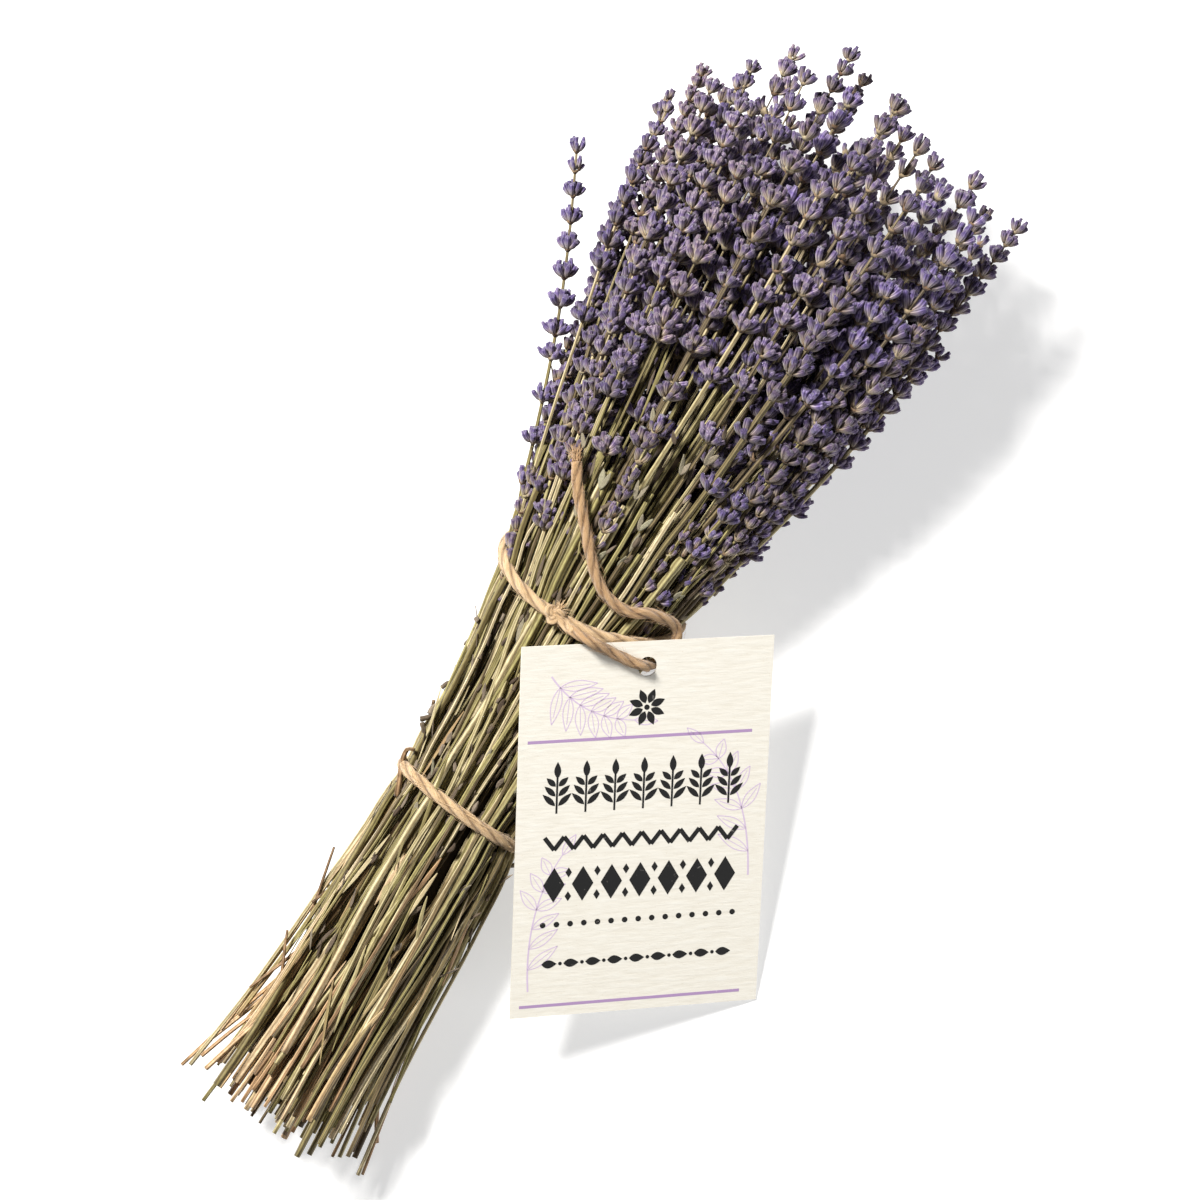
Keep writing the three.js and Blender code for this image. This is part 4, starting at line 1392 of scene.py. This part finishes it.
def leaf_sides(foot, heading, length, width, points):
    """A leaf shape's two sides, from its foot to its tip."""
    heading = unit(heading)
    side = np.array([-heading[1], heading[0]])
    t = np.linspace(0, 1, points)[:, None]
    half = width / 2 * np.sin(np.pi * t**0.85)
    middle = np.array(foot) + heading * (t * length)
    return middle + side * half, middle - side * half


def add_leaf_patch(pile, foot, heading, length, width, material):
    """A leaf filled with ink."""
    left, right = leaf_sides(foot, heading, length, width, 9)
    add_patch(pile, np.concatenate([left, right[-2:0:-1]]), material)


def add_drawn_leaf(pile, foot, heading, length, width, line, material):
    """A leaf drawn in outline with its vein."""
    for side in leaf_sides(foot, heading, length, width, 12):
        add_patch(pile, ribbon(side, line), material)
    vein = np.array(foot) + unit(heading) * (np.linspace(0.05, 0.8, 6) * length)[:, None]
    add_patch(pile, ribbon(vein, line * 0.8), material)


def inside_card(point, margin=1.0):
    return bool((point > margin).all() and (point < np.array([CARD_WIDTH, CARD_LENGTH]) - margin).all())


def add_drawn_sprig(pile, stalk, material):
    """A sprig in line: a bowed stalk with pairs of leaves and one at its tip."""
    start, bow, tip = np.array(stalk, float)
    t = np.linspace(0, 1, 30)[:, None]
    line = (1 - t) ** 2 * start + 2 * t * (1 - t) * bow + t**2 * tip
    add_patch(pile, ribbon(line, np.linspace(0.5, 0.28, 30)), material)
    leaves = []
    for k, i in enumerate(range(4, 28, 4)):
        way = unit(line[i + 1] - line[i - 1])
        side = np.array([-way[1], way[0]])
        leaves += [(line[i], unit(way * 0.75 + side * sign), 11 - k, 3.0) for sign in (1, -1)]
    leaves.append((line[-1], unit(line[-1] - line[-3]), 7, 2.6))
    for foot, heading, length, width in leaves:
        if inside_card(foot + heading * length):
            add_drawn_leaf(pile, foot, heading, length, width, 0.28, material)


def disc(x, y, r, points=20):
    return np.array([x, y]) + np.stack(polar(r, angles_of(points)), -1)


def diamond(x, y, w, h):
    return [(x - w / 2, y), (x, y - h / 2), (x + w / 2, y), (x, y + h / 2)]


def add_block_sprig(pile, across, down, height, material):
    """A small upright sprig as a block print: a stalk, three pairs of leaves and a pointed top."""
    add_patch(pile, ribbon([(across, down), (across, down - height * 0.75)], [0.55, 0.55]), material)
    for k in range(3):
        at = down - height * (0.16 + 0.2 * k)
        for sign in (-1, 1):
            foot = (across + sign * 0.45, at)
            add_leaf_patch(pile, foot, (sign * 0.8, -0.75), height * (0.36 - 0.05 * k), 1.7, material)
    add_leaf_patch(pile, (across, down - height * 0.72), (0, -1), height * 0.34, 2.0, material)


def in_a_row(count, step):
    """Places across the card, evenly about its middle."""
    return [CARD_WIDTH / 2 + (k - (count - 1) / 2) * step for k in range(count)]


def add_print(pile):
    """Lilac rules and line-drawn sprigs, and a plain block-printed ornament in black."""
    black, lilac, faint = 0, 1, 2
    for down in (27.6, 107.2):
        add_patch(pile, [(2.6, down), (69.6, down), (69.6, down + 0.9), (2.6, down + 0.9)], lilac)
    add_drawn_sprig(pile, [(70.5, 72), (70, 44), (55, 31)], faint)
    add_drawn_sprig(pile, [(5, 103), (3, 78), (14, 62)], faint)
    add_drawn_sprig(pile, [(9, 9), (18, 22), (34, 23)], faint)
    # A rosette of eight leaves, and then bands down the card.
    centre = np.array([CARD_WIDTH / 2, 19.4])
    for angle in angles_of(8) + TURN / 16:
        way = np.array([np.cos(angle), np.sin(angle)])
        add_leaf_patch(pile, centre + way * 1.3, way, 4.4, 2.2, black)
    add_patch(pile, disc(*centre, 0.8), black)
    sprigs, zigzag, lozenges, beads, leaves = 49.5, 58.5, 71, 83, 95
    for across in in_a_row(7, 8.6):
        add_block_sprig(pile, across, sprigs, 14.5, black)
    bends = [(across, zigzag + (1.9 if k % 2 else -1.9)) for k, across in enumerate(in_a_row(21, 2.9))]
    for a, b in zip(bends, bends[1:]):
        add_patch(pile, ribbon([a, b], [1.3, 1.3]), black)
    for k, across in enumerate(in_a_row(7, 8.6)):
        add_patch(pile, diamond(across, lozenges, 6.4, 10.5), black)
        if k < 6:
            for sign in (-1, 1):
                add_patch(pile, diamond(across + 4.3, lozenges + sign * 3.6, 1.9, 3.0), black)
    for across in in_a_row(15, 4.1):
        add_patch(pile, disc(across, beads, 0.85, 14), black)
    for k, across in enumerate(in_a_row(9, 6.6)):
        add_leaf_patch(pile, (across - 2.3, leaves), (1, 0), 4.6, 2.5, black)
        if k < 8:
            add_patch(pile, disc(across + 3.3, leaves, 0.55, 12), black)


# --------------- the object

string_line = evenly(centripetal(string_route(), 24), 0.6)
string_pile = Pile()
add_twine(string_pile, string_line, STRING_R, pitch=20)
string = string_pile.build("tag_string_twine", [STRING])
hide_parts("tag_string")

solid_plans = solid_spikes()
more_plans = between_spikes(list(solid_plans.values()))
shoot_plans = shoots()

for name, plan in solid_plans.items():
    pile = Pile()
    add_spike(pile, plan)
    made = pile.build(name + "_flowers", [CALYX, BRACT])
    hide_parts(name)

GROUPS = 12
for g in range(GROUPS):
    pile = Pile()
    for plan in [*more_plans, *shoot_plans][g::GROUPS]:
        add_spike(pile, plan)
    add_buds(pile, BUDS // GROUPS, (-14, 44), (0.9, 1.0), 0.2)
    pile.build(f"flowers_between_{g + 1}", [CALYX, BRACT])

places = packed_places(STEMS)
matched = match_places(places, [*solid_plans.values(), *more_plans])
far_out = np.hypot(*places.T)
is_outer = far_out >= np.median(far_out)
for name, picked in (("outer_stems", is_outer), ("inner_stems", ~is_outer)):
    pile = Pile()
    if name == "inner_stems":
        add_core(pile)
    for k in np.flatnonzero(picked):
        add_stem(pile, places[k], matched.get(k), loose=uniform() < LOOSE_SHARE)
    made = pile.build(name, [STEM])
    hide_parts("stems")

litter = Pile()
add_leaves(litter)
add_blades(litter, BLADES, -150, -62, 0.97, -0.1)
add_leaf_pairs(litter)
add_side_bits(litter)
add_blades(litter, FAN_BLADES, 6, 62, 0.82, 0.4)
for plan in shoot_plans:
    add_twig(litter, plan)
litter.build("leaf_scraps", [STEM, LEAF])

dry = Pile()
add_buds(dry, DRY_BUDS, (-84, 26), (0.88, 1.0), 0.2)
both_sides = random.choice([0, np.pi], EDGE_BUDS) + normal(0, 0.22, EDGE_BUDS)
add_buds(dry, EDGE_BUDS, (-105, 0), (0.98, 1.03), 0.5, both_sides)
dry.build("dry_buds", [LEAF])

for name, tie, knot_size in (("tie_lower", LOWER_TIE, 1.2), ("tie_upper", UPPER_TIE, 1.5)):
    pile = Pile()
    ring = tie_path(tie, 300)
    add_twine(pile, ring, TWINE_R, closed=True, pitch=22, outs=tie_outs(ring), flat=TIE_FLAT)
    add_fibres(pile, ring, TWINE_R, 260, 1.5, closed=True)
    add_knot(pile, tie, knot_size)
    if name == "tie_upper":
        # The tie goes on into the tag's string, and its other end is cut short.
        place, along, out, side = tie_frame(tie)
        first = string_line[0]
        link = [place + out * 1.2 - along * 1.5, place * 0.45 + first * 0.55, first, string_line[3]]
        link = centripetal(np.array(link), 8)
        add_twine(pile, link, STRING_R * 0.97)
        add_fibres(pile, link, STRING_R, 50, 1.4)
        fray(pile, place + out * 0.8 + side, unit(side + out * 0.1 + along * 0.3), 0.4, 90, 4)
    made = pile.build(name + "_twine", [TWINE])
    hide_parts(name)

fluff = Pile()
add_fibres(fluff, string_line, STRING_R, 330, 1.6)
fray(fluff, string_line[-1], unit(string_line[-1] - string_line[-4]), 0.2, 150, 4.5)
fluff.build("string_fibres", [STRING])

card_pile = Pile()
add_slab(card_pile, *card_sheet(), 0.0, CARD_THICKNESS)
card = card_pile.build("card", [CARD], smooth=False)
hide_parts("tag_card")
print_pile = Pile()
add_print(print_pile)
print_pile.build("card_print", [BLACK_INK, LILAC_INK, FAINT_INK], smooth=False)

# --------------- floor

# Half the floor's side, in metres.
FLOOR = 14.0
corners = [(-FLOOR, -FLOOR, 0), (FLOOR, -FLOOR, 0), (FLOOR, FLOOR, 0), (-FLOOR, FLOOR, 0)]
floor_mesh = bpy.data.meshes.new("floor")
floor_mesh.from_pydata(corners, [], [(0, 1, 2, 3)])
floor_mesh.materials.append(floor_material())
floor = bpy.data.objects.new("floor", floor_mesh)
bpy.context.scene.collection.objects.link(floor)
